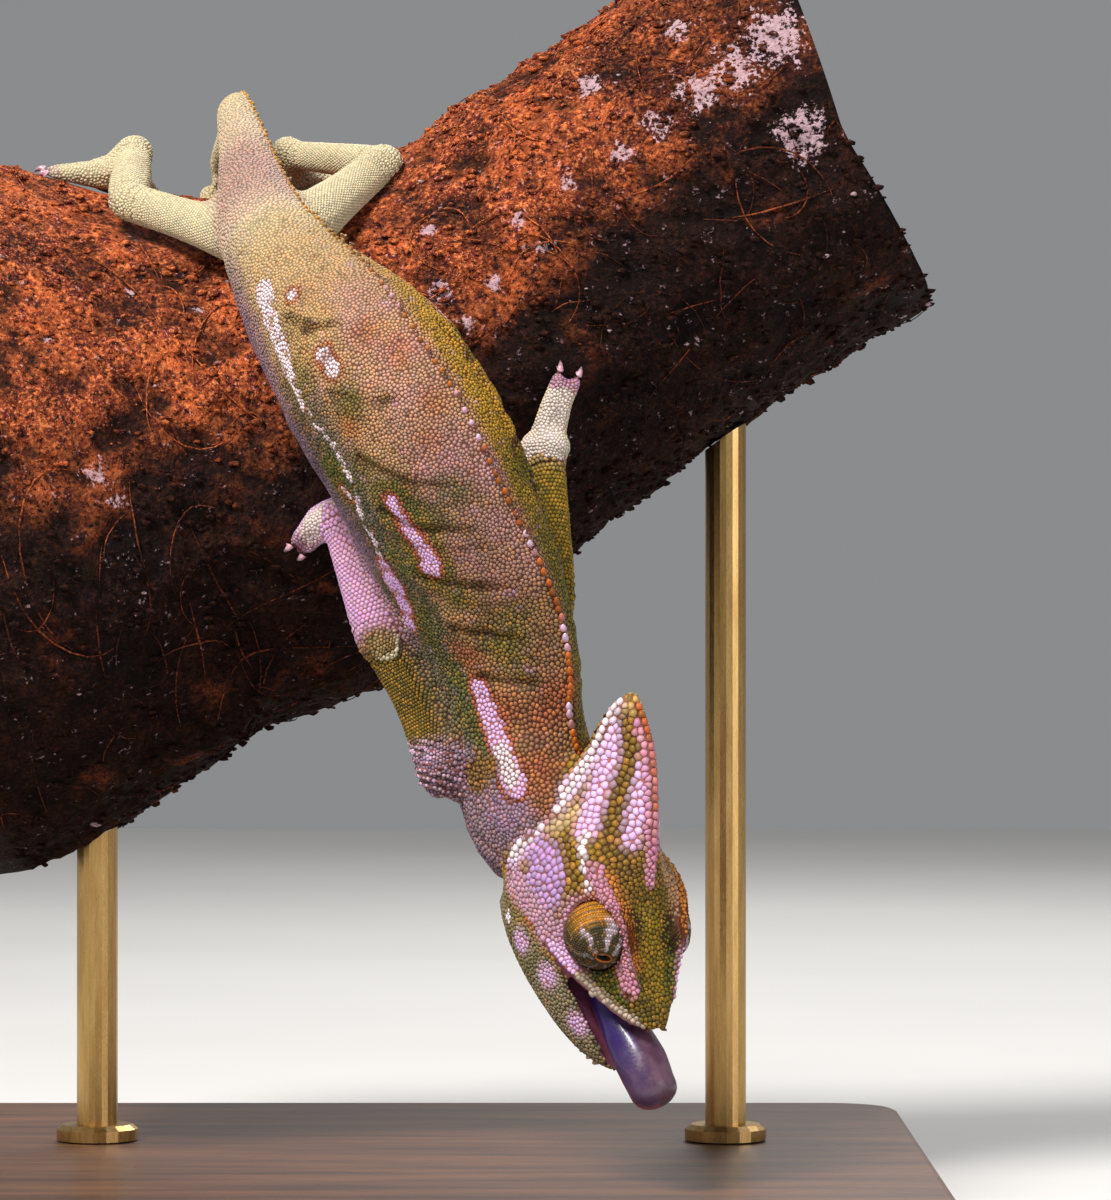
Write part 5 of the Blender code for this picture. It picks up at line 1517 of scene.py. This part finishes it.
def toe_ends(branch):
    """Where each toe ends: its foot, the place, the way it points and its radius there."""
    found = []
    for name, (palm, bundles) in FEET.items():
        thick, lift = TOE_RADIUS[name] * MM, PALM_RADIUS[name] * 0.9 * MM
        spot = Vector(palm) * MM
        out = (branch.above(spot, 4 * MM) - branch.above(spot, 0)).normalized()
        palm = branch.above(spot, lift)
        for way, toes, length in bundles:
            way = Vector(way)
            way = (way - out * way.dot(out)).normalized()
            across = out.cross(way)
            for toe in range(toes):
                place = toe - (toes - 1) / 2
                reach, aside = length * MM * (1 - 0.1 * abs(place)), place * thick
                ends = []
                for share in (0.85, 1.0):
                    radius = thick * (1 - TOE_TAPER[name] * share)
                    spot = palm + way * reach * share + across * aside * (0.75 + 0.4 * share)
                    ends.append(branch.above(spot, radius * 0.95))
                found.append((name, ends[1], (ends[1] - ends[0]).normalized(), radius))
    return found


def add_claws(branch, toes, material):
    """A curved, tapering claw at the tip of every toe, in one joined mesh."""
    points, shares, faces = [], [], []
    sides, rings = 8, 9
    for _, end, along, radius in toes:
        root = end + along * radius * 0.7
        tip = branch.above(root + along * CLAW_LENGTH, 0.25 * MM)
        rise = (branch.above(root, 5 * MM) - branch.above(root, 4 * MM)).normalized()
        bow = (root + tip) / 2 + rise * 0.9 * MM
        side = along.cross(rise).normalized()
        first = len(points)
        for k in range(rings):
            t = k / (rings - 1)
            middle = root * (1 - t) ** 2 + bow * 2 * t * (1 - t) + tip * t * t
            wide = CLAW_RADIUS * (1 - t) ** 0.7 + 0.05 * MM
            up = side.cross((bow - root) * (1 - t) + (tip - bow) * t).normalized()
            for j in range(sides):
                turn = 2 * math.pi * j / sides
                points.append(middle + (side * math.cos(turn) * 0.8 - up * math.sin(turn)) * wide)
                shares.append((t, random.random(), 0))
        faces.append(grid_faces(rings, sides) + first)
    mesh = mesh_from("claws", np.array(points), np.concatenate(faces))
    note(mesh, "detail", shares)
    add_piece(mesh.name, mesh, material, "limb")


def add_bark(skin, bark, sawn):
    """Crumbly, fibrous bark over the branch, kept low under the feet, with sawn ends."""
    start, end = BRANCH_HEIGHT[0][0] * MM, BRANCH_HEIGHT[-1][0] * MM
    animal = tree_of(skin.points[::3])
    xs = np.linspace(start, end, BARK_RINGS)
    turn = turns_of(BARK_SIDES)
    points = np.empty((BARK_RINGS, BARK_SIDES, 3))
    cover = np.empty((BARK_RINGS, BARK_SIDES))
    for i, x in enumerate(xs):
        height, radius = branch_station(x)
        rise = branch_station(min(x + MM, end))[0] - branch_station(max(x - MM, start))[0]
        along = Vector((2 * MM, 0, rise)).normalized()
        level = along.cross(Vector((0, 1, 0)))
        centre = Vector((x, BRANCH_DEPTH, height))
        near_end = fade(min(x - start, end - x) / MM, 0.0, 2.5)
        for j, angle in enumerate(turn):
            out = Vector((0, 1, 0)) * math.cos(angle) + level * math.sin(angle)
            spot = centre + out * radius
            lump = noise.noise(spot / BARK_LUMP_SIZE) + 0.5 * noise.noise(spot / (BARK_LUMP_SIZE * 0.45))
            near = max(0.0, 1 - (spot - KNOB_PLACE).length / KNOB_REACH)
            spot += out * (lump * BARK_LUMP + near * near * (3 - 2 * near) * KNOB_RISE)
            gap = animal.find(spot)[2]
            free = min(max((gap / MM - 1.2) / 4.0, 0.0), 1.0)
            grain = Vector((spot.x * 0.75, spot.y, spot.z))
            crumb = noise.noise(grain / (7 * MM)) * 0.9 + noise.noise(grain / (2.6 * MM)) * 0.75
            crumb += noise.noise(spot / (1.2 * MM)) * 0.45 - abs(noise.noise(grain / (13 * MM))) * 1.3
            rough = (crumb * free - 0.25 * (1 - free)) * MM
            points[i, j] = spot + out * rough * (1 - near_end)
            cover[i, j] = crumb
    side = points.reshape(-1, 3)
    mesh = mesh_from("bark", side, grid_faces(BARK_RINGS, BARK_SIDES))
    # detail holds the relief, the pale crust and the painted shade of the underside
    note(mesh, "detail", np.column_stack((cover.ravel(), pale_crust(side), painted_shade_side(side))))
    add_piece(mesh.name, mesh, bark, "bark", "perch_branch")
    rings = np.linspace(1, 0.02, 16)
    for name, ring, flip in (("left", points[0], False), ("right", points[-1], True)):
        middle = ring.mean(axis=0)
        disc = middle + (ring[None] - middle) * rings[:, None, None]
        sunk = 0.25 * MM * (1 if flip else -1) * fade(rings, 0.9, 0.08)
        disc[:, :, 0] -= sunk[:, None]
        quads = grid_faces(len(rings), BARK_SIDES)
        face = mesh_from(f"sawn_end_{name}", disc.reshape(-1, 3), quads if flip else quads[:, ::-1])
        note(face, "detail", one_value(np.repeat(rings, BARK_SIDES)))
        add_piece(face.name, face, sawn, "bark")
    return points, animal


def pale_crust(points):
    """How much pale lichen lies on places of the bark."""
    crust = np.zeros(len(points))
    for x, z, reach in LICHEN:
        gap = sizes_of(points[:, (0, 2)] / MM - (x, z))
        crust = np.maximum(crust, fade(gap * np.where(points[:, 1] < BRANCH_DEPTH, 1, 9), reach * 0.3, reach))
    return crust


def painted_shade_side(points):
    """Painted shade: 1 on the branch's underside and 0 on its upper side, and at least 0.75 towards its right
    end.
    """
    height = np.interp(points[:, 0] / MM, *zip(*BRANCH_HEIGHT))
    radius = np.interp(points[:, 0] / MM, *zip(*BRANCH_RADIUS))
    right = within((points[:, 0] / MM - 15) / 60)
    low = 0.7 + 0.4 * right - (points[:, 2] / MM - height) / radius * 1.6
    return within(np.maximum(low, 0.75 * right))


# Pale patches on the side of the bark that is seen: x, z and reach in millimetres
LICHEN = (
    (53, 207, 3.5), (46, 201.5, 2.6), (27, 189.5, 2.4), (12, 175.5, 3), (60.6, 213.7, 5), (68, 218, 6),
    (75, 224, 7), (40, 215.6, 3), (10, 187.6, 1.8), (22, 177.4, 2), (17, 169.5, 2.2), (36, 196, 2),
    (57, 226, 3), (80, 205, 6), (-51, 141, 3.2), (-33, 172, 1.3), (-46, 175, 1.1), (-60, 166, 1.2),
    (-47, 136, 2), (-1, 160, 1.5), (31, 184, 1.5),
)


def add_crumbs(points, out, animal, bark):
    """Loose crumbs lying on the bark, away from the animal."""
    ball = bmesh.new()
    bmesh.ops.create_icosphere(ball, subdivisions=1, radius=1)
    shape = np.array([tuple(v.co) for v in ball.verts])
    sides = np.array([[v.index for v in face.verts] for face in ball.faces])
    ball.free()
    all_points, all_faces, tones = [], [], []
    while len(all_points) < CRUMB_COUNT:
        i, j = random.randrange(2, BARK_RINGS - 2), random.randrange(BARK_SIDES)
        place = points[i, j]
        if animal.find(place)[2] < CRUMBS_AWAY:
            continue
        size = random.choice(CRUMB_SIZES) * MM
        jag = shape * dice.uniform(0.55, 1.2, (len(shape), 1)) * (1.5, 1, 0.8) * size
        all_faces.append(sides + len(shape) * len(all_points))
        all_points.append(place + out[i, j] * size * 0.3 + jag)
        tones.append(random.random())
    mesh = mesh_from("bark_crumbs", np.concatenate(all_points), np.concatenate(all_faces))
    tones = np.repeat(tones, len(shape))
    places = np.repeat([shape_of.mean(axis=0) for shape_of in all_points], len(shape), axis=0)
    # detail holds the tone, the pale flakes and the painted shade of the underside
    note(mesh, "detail", np.column_stack((tones - 0.3, tones > 0.985, painted_shade_side(places))))
    add_piece(mesh.name, mesh, bark, "bark")


def add_fibres(points, out, animal, bark):
    """Fine root fibres lying on the bark, away from the animal."""
    fibres, faces, tones = [], [], []
    steps, across = 12, 4
    ways = circle(across)
    walls = grid_faces(steps, across)
    while len(fibres) < FIBRE_COUNT:
        i, j = random.randrange(4, BARK_RINGS - 4), random.randrange(BARK_SIDES)
        heading, bend = random.uniform(0, 2 * math.pi), random.uniform(-0.35, 0.35)
        long = random.choice((0.5, 0.8, 1.2, 2.0))
        wide = random.uniform(0.09, 0.2) * MM
        lift = random.uniform(0.2, 1.1) * MM
        line, row, column = [], float(i), float(j)
        for k in range(steps):
            here = int(row) % BARK_RINGS, int(column) % BARK_SIDES
            arch = math.sin(math.pi * k / (steps - 1)) * lift
            line.append(points[here] + out[here] * (arch - 0.1 * MM))
            row = min(max(row + math.cos(heading) * long * 2.2, 2), BARK_RINGS - 3)
            column += math.sin(heading) * long * 2.2
            heading += bend
        line = np.array(line)
        if min(animal.find(place)[2] for place in line) < FIBRES_AWAY:
            continue
        for _ in range(2):
            line[1:-1] = (line[:-2] + line[1:-1] * 2 + line[2:]) / 4
        along = unit(np.gradient(line, axis=0))
        side = unit(np.cross(along, out[i, j]))
        rise = np.cross(side, along)
        thin_out = wide * np.sin(np.linspace(0.25, math.pi - 0.15, steps))
        ring = side[:, None] * ways[None, :, :1] + rise[:, None] * ways[None, :, 1:]
        faces.append(walls + steps * across * len(fibres))
        fibres.append((line[:, None] + ring * thin_out[:, None, None]).reshape(-1, 3))
        tones.append(random.random())
    mesh = mesh_from("root_fibres", np.concatenate(fibres), np.concatenate(faces))
    tones = np.repeat(tones, steps * across)
    # detail holds the tone and a weaker painted shade of the underside
    note(mesh, "detail", np.column_stack((tones * 0.8, tones * 0, painted_shade_side(np.concatenate(fibres)) * 0.75)))
    add_piece(mesh.name, mesh, bark, "bark")


BARK_RINGS, BARK_SIDES = 270, 320
CRUMB_COUNT, FIBRE_COUNT = 9000, 380
CRUMB_SIZES = (0.2, 0.25, 0.3, 0.35, 0.45, 0.6, 0.9)
CRUMBS_AWAY, FIBRES_AWAY = 4 * MM, 3 * MM  # how far from the animal they stay


def tint(*parts):
    """A shader colour from the 0 to 255 values of a paint chart."""
    return tuple(((c / 255 + 0.055) / 1.055) ** 2.4 if c > 10 else c / 3294.6 for c in parts) + (1.0,)


class Nodes:
    """Short ways to add and join shader nodes in one tree."""

    def __init__(self, tree):
        self.tree = tree

    def fill(self, socket, value):
        if isinstance(value, bpy.types.NodeSocket):
            self.tree.links.new(value, socket)
        else:
            socket.default_value = value

    def add(self, kind, inputs=(), output=0, **settings):
        node = self.tree.nodes.new(f"ShaderNode{kind}")
        for key, value in settings.items():
            setattr(node, key, value)
        for key, value in dict(inputs).items():
            self.fill(node.inputs[key], value)
        return node.outputs[output]

    def maths(self, operation, *values, clamp=False):
        return self.add("Math", enumerate(values), operation=operation, use_clamp=clamp)

    def plus(self, *values):
        return self.maths("ADD", *values)

    def times(self, *values, clamp=False):
        return self.maths("MULTIPLY", *values, clamp=clamp)

    def mix(self, share, first, second, way="MIX"):
        return self.add("Mix", {0: share, 6: first, 7: second}, 2, data_type="RGBA", blend_type=way)

    def span(self, value, low, high, first=0.0, last=1.0):
        return self.add("MapRange", {"Value": value, 1: low, 2: high, 3: first, 4: last})

    def noise(self, place, scale, detail=2.0, rough=0.5):
        return self.add("TexNoise", {"Vector": place, "Scale": scale, "Detail": detail, "Roughness": rough})

    def kept(self, name):
        return self.add("Attribute", output="Vector", attribute_name=name)

    def parts(self, vector):
        split = self.tree.nodes.new("ShaderNodeSeparateXYZ")
        self.fill(split.inputs[0], vector)
        return tuple(split.outputs)

    def place(self):
        return self.add("TexCoord", output="Object")


def group(name, inputs, outputs):
    """A node group with named sockets, its nodes, and its input and output ends."""
    tree = bpy.data.node_groups.new(name, "ShaderNodeTree")
    for label, kind, value in inputs:
        tree.interface.new_socket(name=label, in_out="INPUT", socket_type=kind).default_value = value
    for label, kind in outputs:
        tree.interface.new_socket(name=label, in_out="OUTPUT", socket_type=kind)
    return Nodes(tree), tree.nodes.new("NodeGroupInput").outputs, tree.nodes.new("NodeGroupOutput").inputs


def paint_group():
    """The animal's palette, mixed by the paints kept on the skin and on each scale."""
    nodes, given, wanted = group(
        "chameleon_paints",
        (
            ("Groove Depth", "NodeSocketFloat", 0.8), ("Scale Variation", "NodeSocketFloat", 0.5),
            ("Hue Drift", "NodeSocketFloat", 0.3),
        ),
        (("Color", "NodeSocketColor"), ("Wetness", "NodeSocketFloat"), ("Grain", "NodeSocketFloat")),
    )
    orange, rust, cream = nodes.parts(nodes.kept("warm"))
    lilac, white, grey = nodes.parts(nodes.kept("cool"))
    green, yellow, dark = nodes.parts(nodes.kept("leafy"))
    tone, rim, lining = nodes.parts(nodes.kept("detail"))
    spot = nodes.kept("spot")
    wide, close = nodes.noise(spot, 140, 2), nodes.noise(spot, 650, 2)
    colour = nodes.mix(nodes.span(wide, 0.35, 0.65), tint(100, 70, 18), tint(150, 110, 38))
    colour = nodes.mix(nodes.span(close, 0.45, 0.65), colour, tint(136, 86, 40))
    for share, paint, other in (
        (cream, (220, 214, 172), (206, 190, 146)), (yellow, (184, 142, 12), (208, 156, 32)),
        (green, (46, 82, 5), (84, 106, 8)), (grey, (82, 88, 102), (112, 100, 124)),
        (orange, (204, 106, 28), (184, 84, 40)), (lilac, (222, 184, 250), (192, 148, 226)),
        (dark, (48, 34, 24), (66, 46, 32)), (rust, (142, 60, 52), (168, 88, 70)),
        (white, (246, 238, 240), (230, 212, 226)),
    ):
        change = nodes.span(nodes.plus(close, nodes.times(tone, 0.3)), 0.45, 0.9)
        own = nodes.mix(change, tint(*paint), tint(*other))
        strength = nodes.times(share, nodes.span(close, 0.3, 0.6, 0.78, 1.0), clamp=True)
        colour = nodes.mix(strength, colour, own)
    palest = nodes.maths("MAXIMUM", lilac, nodes.maths("MAXIMUM", cream, white))
    drift = nodes.times(given["Hue Drift"], nodes.maths("SUBTRACT", 1.0, palest))
    warmer = nodes.times(drift, nodes.span(tone, 0.72, 1.0))
    colour = nodes.mix(warmer, colour, tint(190, 122, 50))
    cooler = nodes.times(drift, nodes.span(tone, 0.28, 0.0))
    colour = nodes.mix(cooler, colour, tint(72, 78, 46))
    swing = nodes.times(nodes.maths("SUBTRACT", tone, 0.5), given["Scale Variation"])
    bright = nodes.plus(swing, 1.0)
    colour = nodes.mix(1.0, colour, nodes.add("CombineColor", {0: bright, 1: bright, 2: bright}), "MULTIPLY")
    # Painted shade in the grooves between scales, lighter on cream skin; beside lilac the groove takes the
    # skin's own orange-brown.
    groove_shade = nodes.times(rim, given["Groove Depth"], clamp=True)
    groove_shade = nodes.times(groove_shade, nodes.span(cream, 0.3, 1.0, 1.0, 0.5))
    shade = nodes.mix(1.0, colour, tint(108, 74, 58), "MULTIPLY")
    shade = nodes.mix(nodes.times(lilac, 0.8, clamp=True), shade, tint(166, 96, 78))
    colour = nodes.mix(groove_shade, colour, shade)
    flesh = nodes.mix(nodes.noise(nodes.place(), 420), tint(92, 42, 64), tint(148, 86, 110))
    nodes.fill(wanted["Color"], nodes.mix(lining, colour, flesh))
    nodes.fill(wanted["Wetness"], lining)
    fine = nodes.noise(nodes.place(), 2600, 3)
    nodes.fill(wanted["Grain"], nodes.plus(fine, nodes.times(rim, -0.5)))
    return nodes.tree


def crumble_group():
    """Crumbly plant matter: a colour mix and a height from one place and a few masks."""
    nodes, given, wanted = group(
        "crumbly_fibre",
        (
            ("Place", "NodeSocketVector", (0, 0, 0)), ("Cover", "NodeSocketFloat", 0.0),
            ("Pale Crust", "NodeSocketFloat", 0.0), ("Damp", "NodeSocketFloat", 0.0),
        ),
        (("Color", "NodeSocketColor"), ("Height", "NodeSocketFloat")),
    )
    place = given["Place"]
    lump, fine = nodes.noise(place, 55, 4, 0.6), nodes.noise(place, 1100, 4, 0.7)
    crumb, grain = nodes.noise(place, 420, 3, 0.65), nodes.noise(place, 2300, 2, 0.6)
    colour = nodes.mix(nodes.span(lump, 0.36, 0.66), tint(92, 34, 24), tint(188, 90, 46))
    for value, low, high, most, paint in (
        (crumb, 0.5, 0.62, 1.0, (104, 38, 32)), (fine, 0.53, 0.62, 1.0, (222, 124, 70)),
        (fine, 0.47, 0.38, 1.0, (24, 9, 8)), (grain, 0.6, 0.7, 0.8, (226, 152, 104)),
        # Where the bark's relief is dented it goes near-black: painted shade in the hollows; raised lumps
        # turn orange-tan.
        (given["Cover"], 0.0, -1.0, 0.9, (22, 11, 9)), (given["Cover"], 0.4, 1.2, 0.5, (186, 112, 66)),
    ):
        colour = nodes.mix(nodes.span(value, low, high, 0.0, most), colour, tint(*paint))
    # Painted shade: the underside and the right end go towards near-black, as the last input says
    dark = nodes.mix(nodes.span(fine, 0.5, 0.72, 0.0, 0.6), tint(9, 4, 4), tint(36, 15, 12))
    wet = nodes.plus(given["Damp"], nodes.span(lump, 0.3, 0.7, 0.25, -0.25))
    colour = nodes.mix(nodes.span(wet, 0.25, 0.9, 0.0, 0.96), colour, dark)
    grit = nodes.plus(nodes.span(crumb, 0.35, 0.65, -0.5, 0.3), nodes.span(fine, 0.4, 0.6, -0.5, 0.35))
    crust = nodes.plus(given["Pale Crust"], grit)
    lichen = nodes.mix(fine, tint(140, 92, 96), tint(222, 196, 206))
    colour = nodes.mix(nodes.span(crust, 0.5, 0.75, 0.0, 0.8), colour, lichen)
    nodes.fill(wanted["Color"], colour)
    nodes.fill(wanted["Height"], nodes.plus(nodes.times(fine, 0.7), crumb))
    return nodes.tree


def wood_group():
    """Growth rings or long grain from one place: a colour share and a height."""
    nodes, given, wanted = group(
        "wood_grain",
        (
            ("Place", "NodeSocketVector", (0, 0, 0)), ("Stretch", "NodeSocketVector", (1, 1, 1)),
            ("Scale", "NodeSocketFloat", 60.0),
        ),
        (("Share", "NodeSocketFloat"), ("Height", "NodeSocketFloat")),
    )
    place = nodes.add("Mapping", {0: given["Place"], 3: given["Stretch"]})
    broad = nodes.noise(place, given["Scale"], 4, 0.6)
    fine = nodes.noise(place, nodes.times(given["Scale"], 14.0), 3, 0.7)
    both = nodes.plus(nodes.times(broad, 0.7), nodes.times(fine, 0.3))
    nodes.fill(wanted["Share"], both)
    nodes.fill(wanted["Height"], fine)
    return nodes.tree


def new_material(name, constants):
    """A material with its Principled shader, and the constants set on the shader's own sockets."""
    material = bpy.data.materials.new(name)
    material.use_nodes = True
    nodes = Nodes(material.node_tree)
    shader = material.node_tree.nodes["Principled BSDF"]
    for socket, value in constants.items():
        shader.inputs[socket].default_value = value
    return material, nodes, shader.inputs


def use(nodes, tree, **inputs):
    """A group node in a material, with its inputs filled by name."""
    node = nodes.tree.nodes.new("ShaderNodeGroup")
    node.node_tree = tree
    for label, value in inputs.items():
        nodes.fill(node.inputs[label.replace("_", " ")], value)
    return node.outputs


def finish(nodes, shader, colour, rough, height=None, depth=0.0, strength=0.0):
    """Joins a colour, a roughness and, where given, a fine relief to the shader."""
    nodes.fill(shader["Base Color"], colour)
    nodes.fill(shader["Roughness"], rough)
    if height is not None:
        raised = nodes.add("Bump", {"Height": height, "Distance": depth, "Strength": strength}, "Normal")
        nodes.fill(shader["Normal"], raised)


def make_materials():
    paints, crumble, wood = paint_group(), crumble_group(), wood_group()
    made = {}
    for name, groove_shade, spread, sheen in (("skin", 0.95, 0.2, 0.58), ("scales", 0.85, 0.42, 0.33)):
        made[name], nodes, shader = new_material(name, {"Specular IOR Level": 0.22})
        paint = use(nodes, paints, Groove_Depth=groove_shade, Scale_Variation=spread, Hue_Drift=0.32)
        rough = nodes.span(paint["Grain"], 0.2, 0.9, sheen + 0.12, sheen - 0.08)
        rough = nodes.span(paint["Wetness"], 0.0, 1.0, rough, 0.18)
        finish(nodes, shader, paint["Color"], rough, paint["Grain"], 0.12 * MM, 0.5)

    glassy = {"Coat Weight": 1.0, "Coat Roughness": 0.03, "Roughness": 0.2}
    made["eyeball"], nodes, shader = new_material("eyeball", glassy)
    off_axis, _, _ = nodes.parts(nodes.kept("detail"))
    iris = nodes.mix(nodes.noise(nodes.place(), 2200, 2), tint(92, 56, 18), tint(40, 22, 8))
    ring = nodes.times(nodes.span(off_axis, 0.085, 0.1), nodes.span(off_axis, 0.2, 0.17))
    nodes.fill(shader["Base Color"], nodes.mix(ring, tint(10, 7, 7), iris))

    wet = {"Coat Weight": 0.2, "Coat Roughness": 0.12, "Subsurface Weight": 0.12, "Subsurface Scale": 0.002}
    made["tongue"], nodes, shader = new_material("wet tongue", wet)
    side, rise, along = nodes.parts(nodes.kept("detail"))
    vein, fleck = nodes.noise(nodes.place(), 360, 4, 0.6), nodes.noise(nodes.place(), 1900, 3)
    colour = nodes.mix(nodes.span(vein, 0.35, 0.7), tint(70, 40, 60), tint(100, 72, 86))
    blue = nodes.span(nodes.plus(side, nodes.times(vein, 0.5)), -0.2, -0.6)
    blue = nodes.times(blue, nodes.span(along, 0.6, 0.86, 1.0, 0.35))
    colour = nodes.mix(blue, colour, tint(36, 16, 82))
    colour = nodes.mix(nodes.span(rise, -0.35, -0.95), colour, tint(128, 62, 84))
    colour = nodes.mix(nodes.span(along, 0.35, 0.1), colour, tint(96, 40, 66))
    height = nodes.plus(vein, nodes.times(fleck, 0.3))
    finish(nodes, shader, colour, nodes.span(fleck, 0.3, 0.7, 0.3, 0.5), height, 0.3 * MM, 0.5)

    made["claw"], nodes, shader = new_material("claw", {"Coat Weight": 0.3, "Coat Roughness": 0.15})
    along, _, _ = nodes.parts(nodes.kept("detail"))
    streak = nodes.noise(nodes.place(), 1500, 3)
    colour = nodes.mix(nodes.span(along, 0.1, 0.9), tint(196, 142, 160), tint(74, 44, 52))
    colour = nodes.mix(nodes.span(streak, 0.4, 0.7, 0.0, 0.4), colour, tint(226, 196, 200))
    finish(nodes, shader, colour, nodes.span(streak, 0.3, 0.7, 0.28, 0.45), streak, 0.05 * MM, 0.3)

    made["bark"], nodes, shader = new_material("crumbly bark", {"Specular IOR Level": 0.12})
    # detail holds the relief, the pale crust and the painted shade of the underside
    cover, crust, painted_shade = nodes.parts(nodes.kept("detail"))
    crumbs = use(nodes, crumble, Place=nodes.place(), Cover=cover, Pale_Crust=crust, Damp=painted_shade)
    rough = nodes.span(crumbs["Height"], 0.3, 0.8, 0.98, 0.8)
    finish(nodes, shader, crumbs["Color"], rough, crumbs["Height"], 1.2 * MM, 0.9)

    made["sawn"], nodes, shader = new_material("sawn wood", {"Specular IOR Level": 0.3})
    share, _, _ = nodes.parts(nodes.kept("detail"))
    waver = nodes.noise(nodes.place(), 60, 3)
    rings = nodes.maths("SINE", nodes.times(nodes.plus(share, nodes.times(waver, 0.12)), 95.0))
    grain = use(nodes, wood, Place=nodes.place(), Scale=90.0)
    colour = nodes.mix(nodes.span(rings, -1.0, 1.0, 0.1, 0.9), tint(176, 132, 86), tint(206, 168, 118))
    colour = nodes.mix(nodes.span(grain["Share"], 0.4, 0.65, 0.0, 0.45), colour, tint(138, 92, 56))
    colour = nodes.mix(nodes.span(share, 0.93, 0.98), colour, tint(70, 36, 24))
    rough = nodes.span(grain["Height"], 0.3, 0.7, 0.7, 0.9)
    finish(nodes, shader, colour, rough, nodes.plus(grain["Height"], nodes.times(rings, 0.15)), 0.3 * MM, 0.6)

    made["base"], nodes, shader = new_material("walnut", {"Coat Weight": 0.15, "Coat Roughness": 0.25})
    grain = use(nodes, wood, Place=nodes.place(), Stretch=(1.0, 9.0, 9.0), Scale=16.0)
    colour = nodes.mix(nodes.span(grain["Share"], 0.36, 0.64), tint(58, 35, 23), tint(112, 74, 48))
    rough = nodes.span(grain["Height"], 0.3, 0.7, 0.38, 0.52)
    finish(nodes, shader, colour, rough, grain["Height"], 0.1 * MM, 0.4)

    made["rod"], nodes, shader = new_material("brushed brass", {"Metallic": 1.0})
    grain = use(nodes, wood, Place=nodes.place(), Stretch=(6.0, 6.0, 0.6), Scale=120.0)
    colour = nodes.mix(nodes.span(grain["Share"], 0.35, 0.65), tint(176, 138, 82), tint(206, 170, 108))
    rough = nodes.span(grain["Height"], 0.3, 0.7, 0.24, 0.4)
    finish(nodes, shader, colour, rough, grain["Height"], 0.03 * MM, 0.3)

    made["floor"], nodes, shader = new_material("studio floor", {"Specular IOR Level": 0.2})
    cloud = nodes.noise(nodes.place(), 3, 3)
    colour = nodes.mix(nodes.span(cloud, 0.3, 0.7), tint(214, 213, 211), tint(222, 221, 219))
    finish(nodes, shader, colour, nodes.span(cloud, 0.3, 0.7, 0.75, 0.85))
    return made


def finish_stand(materials):
    """The stand's own solids keep their shape and get their finish."""
    for node, material in (("stand_base", "base"), ("stand_rod_left", "rod"), ("stand_rod_right", "rod")):
        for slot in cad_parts[node].material_slots:
            slot.material = materials[material]


def make_stage(material):
    """A plain pale floor, soft studio lights and the camera at the photograph's place."""
    quarters = ((-1, -1), (1, -1), (1, 1), (-1, 1))
    corners = np.array([(x * FLOOR_REACH, y * FLOOR_REACH, 0) for x, y in quarters])
    floor = mesh_from("floor", corners, np.array(((0, 1, 2, 3),)))
    floor.materials.append(material)
    add_object("floor", floor)
    world = bpy.data.worlds.new("studio")
    bpy.context.scene.world = world
    world.use_nodes = True
    world.node_tree.nodes["Background"].inputs["Color"].default_value = (0.86, 0.87, 0.9, 1)
    world.node_tree.nodes["Background"].inputs["Strength"].default_value = WORLD_STRENGTH
    for name, place, size, power, colour in LIGHTS:
        light = bpy.data.lights.new(name, "AREA")
        light.shape, light.size, light.energy, light.color = "DISK", size, power, colour
        lamp = add_object(name, light)
        lamp.location = place
        lamp.rotation_euler = (LIGHTS_AIM - Vector(place)).to_track_quat("-Z", "Y").to_euler()
    camera = bpy.data.cameras.new("camera")
    camera.lens, camera.sensor_fit, camera.sensor_height = CAMERA_LENS, "VERTICAL", 36
    camera.clip_start, camera.clip_end = 0.05, 20
    holder = add_object("camera", camera)
    holder.location = CAMERA_PLACE
    holder.rotation_euler = (math.radians(90), 0, 0)
    bpy.context.scene.camera = holder
    bpy.context.scene.view_settings.view_transform = "Standard"


FLOOR_REACH = 1.6
CAMERA_PLACE, CAMERA_LENS = (0.0337, -0.951, 0.1178), 148.5
WORLD_STRENGTH = 0.3
LIGHTS_AIM = Vector((0, -0.02, 0.13))
LIGHTS = (
    ("key light", (-0.4, -0.6, 0.95), 0.35, 19.8, (1.0, 0.97, 0.93)),
    ("fill light", (0.9, -0.7, 0.35), 0.7, 3.4, (0.93, 0.93, 1.0)),
    ("back light", (0.3, 0.8, 0.8), 0.6, 5.0, (1.0, 0.98, 0.96)),
)

materials = make_materials()
spine, head = Spine(), Head()
branch = Branch()
toes = toe_ends(branch)
skin = Skin(spine, head, toes)
marks = Marks(skin)
count = len(skin.points)
# The skin under the scales carries the full painted groove shade.
write_marks(skin.mesh, marks.layers, marks.lining, skin.points, np.ones(count), np.full(count, 0.5))
add_piece("skin", skin.mesh, materials["skin"], "flank", *FLESH)
coat = Coat(skin, marks)
coat.dress(materials["scales"])
add_crest(skin, coat, materials["scales"])
add_chin_crest(skin, coat, materials["scales"])
for side in (1, -1):
    add_eye(side, skin, materials["scales"], materials["eyeball"])
add_tongue(head, materials["tongue"])
add_claws(branch, toes, materials["claw"])
bark_points, animal = add_bark(skin, materials["bark"], materials["sawn"])
outwards = unit(bark_points - bark_points.mean(axis=1, keepdims=True))
add_crumbs(bark_points, outwards, animal, materials["bark"])
add_fibres(bark_points, outwards, animal, materials["bark"])
finish_stand(materials)
make_stage(materials["floor"])
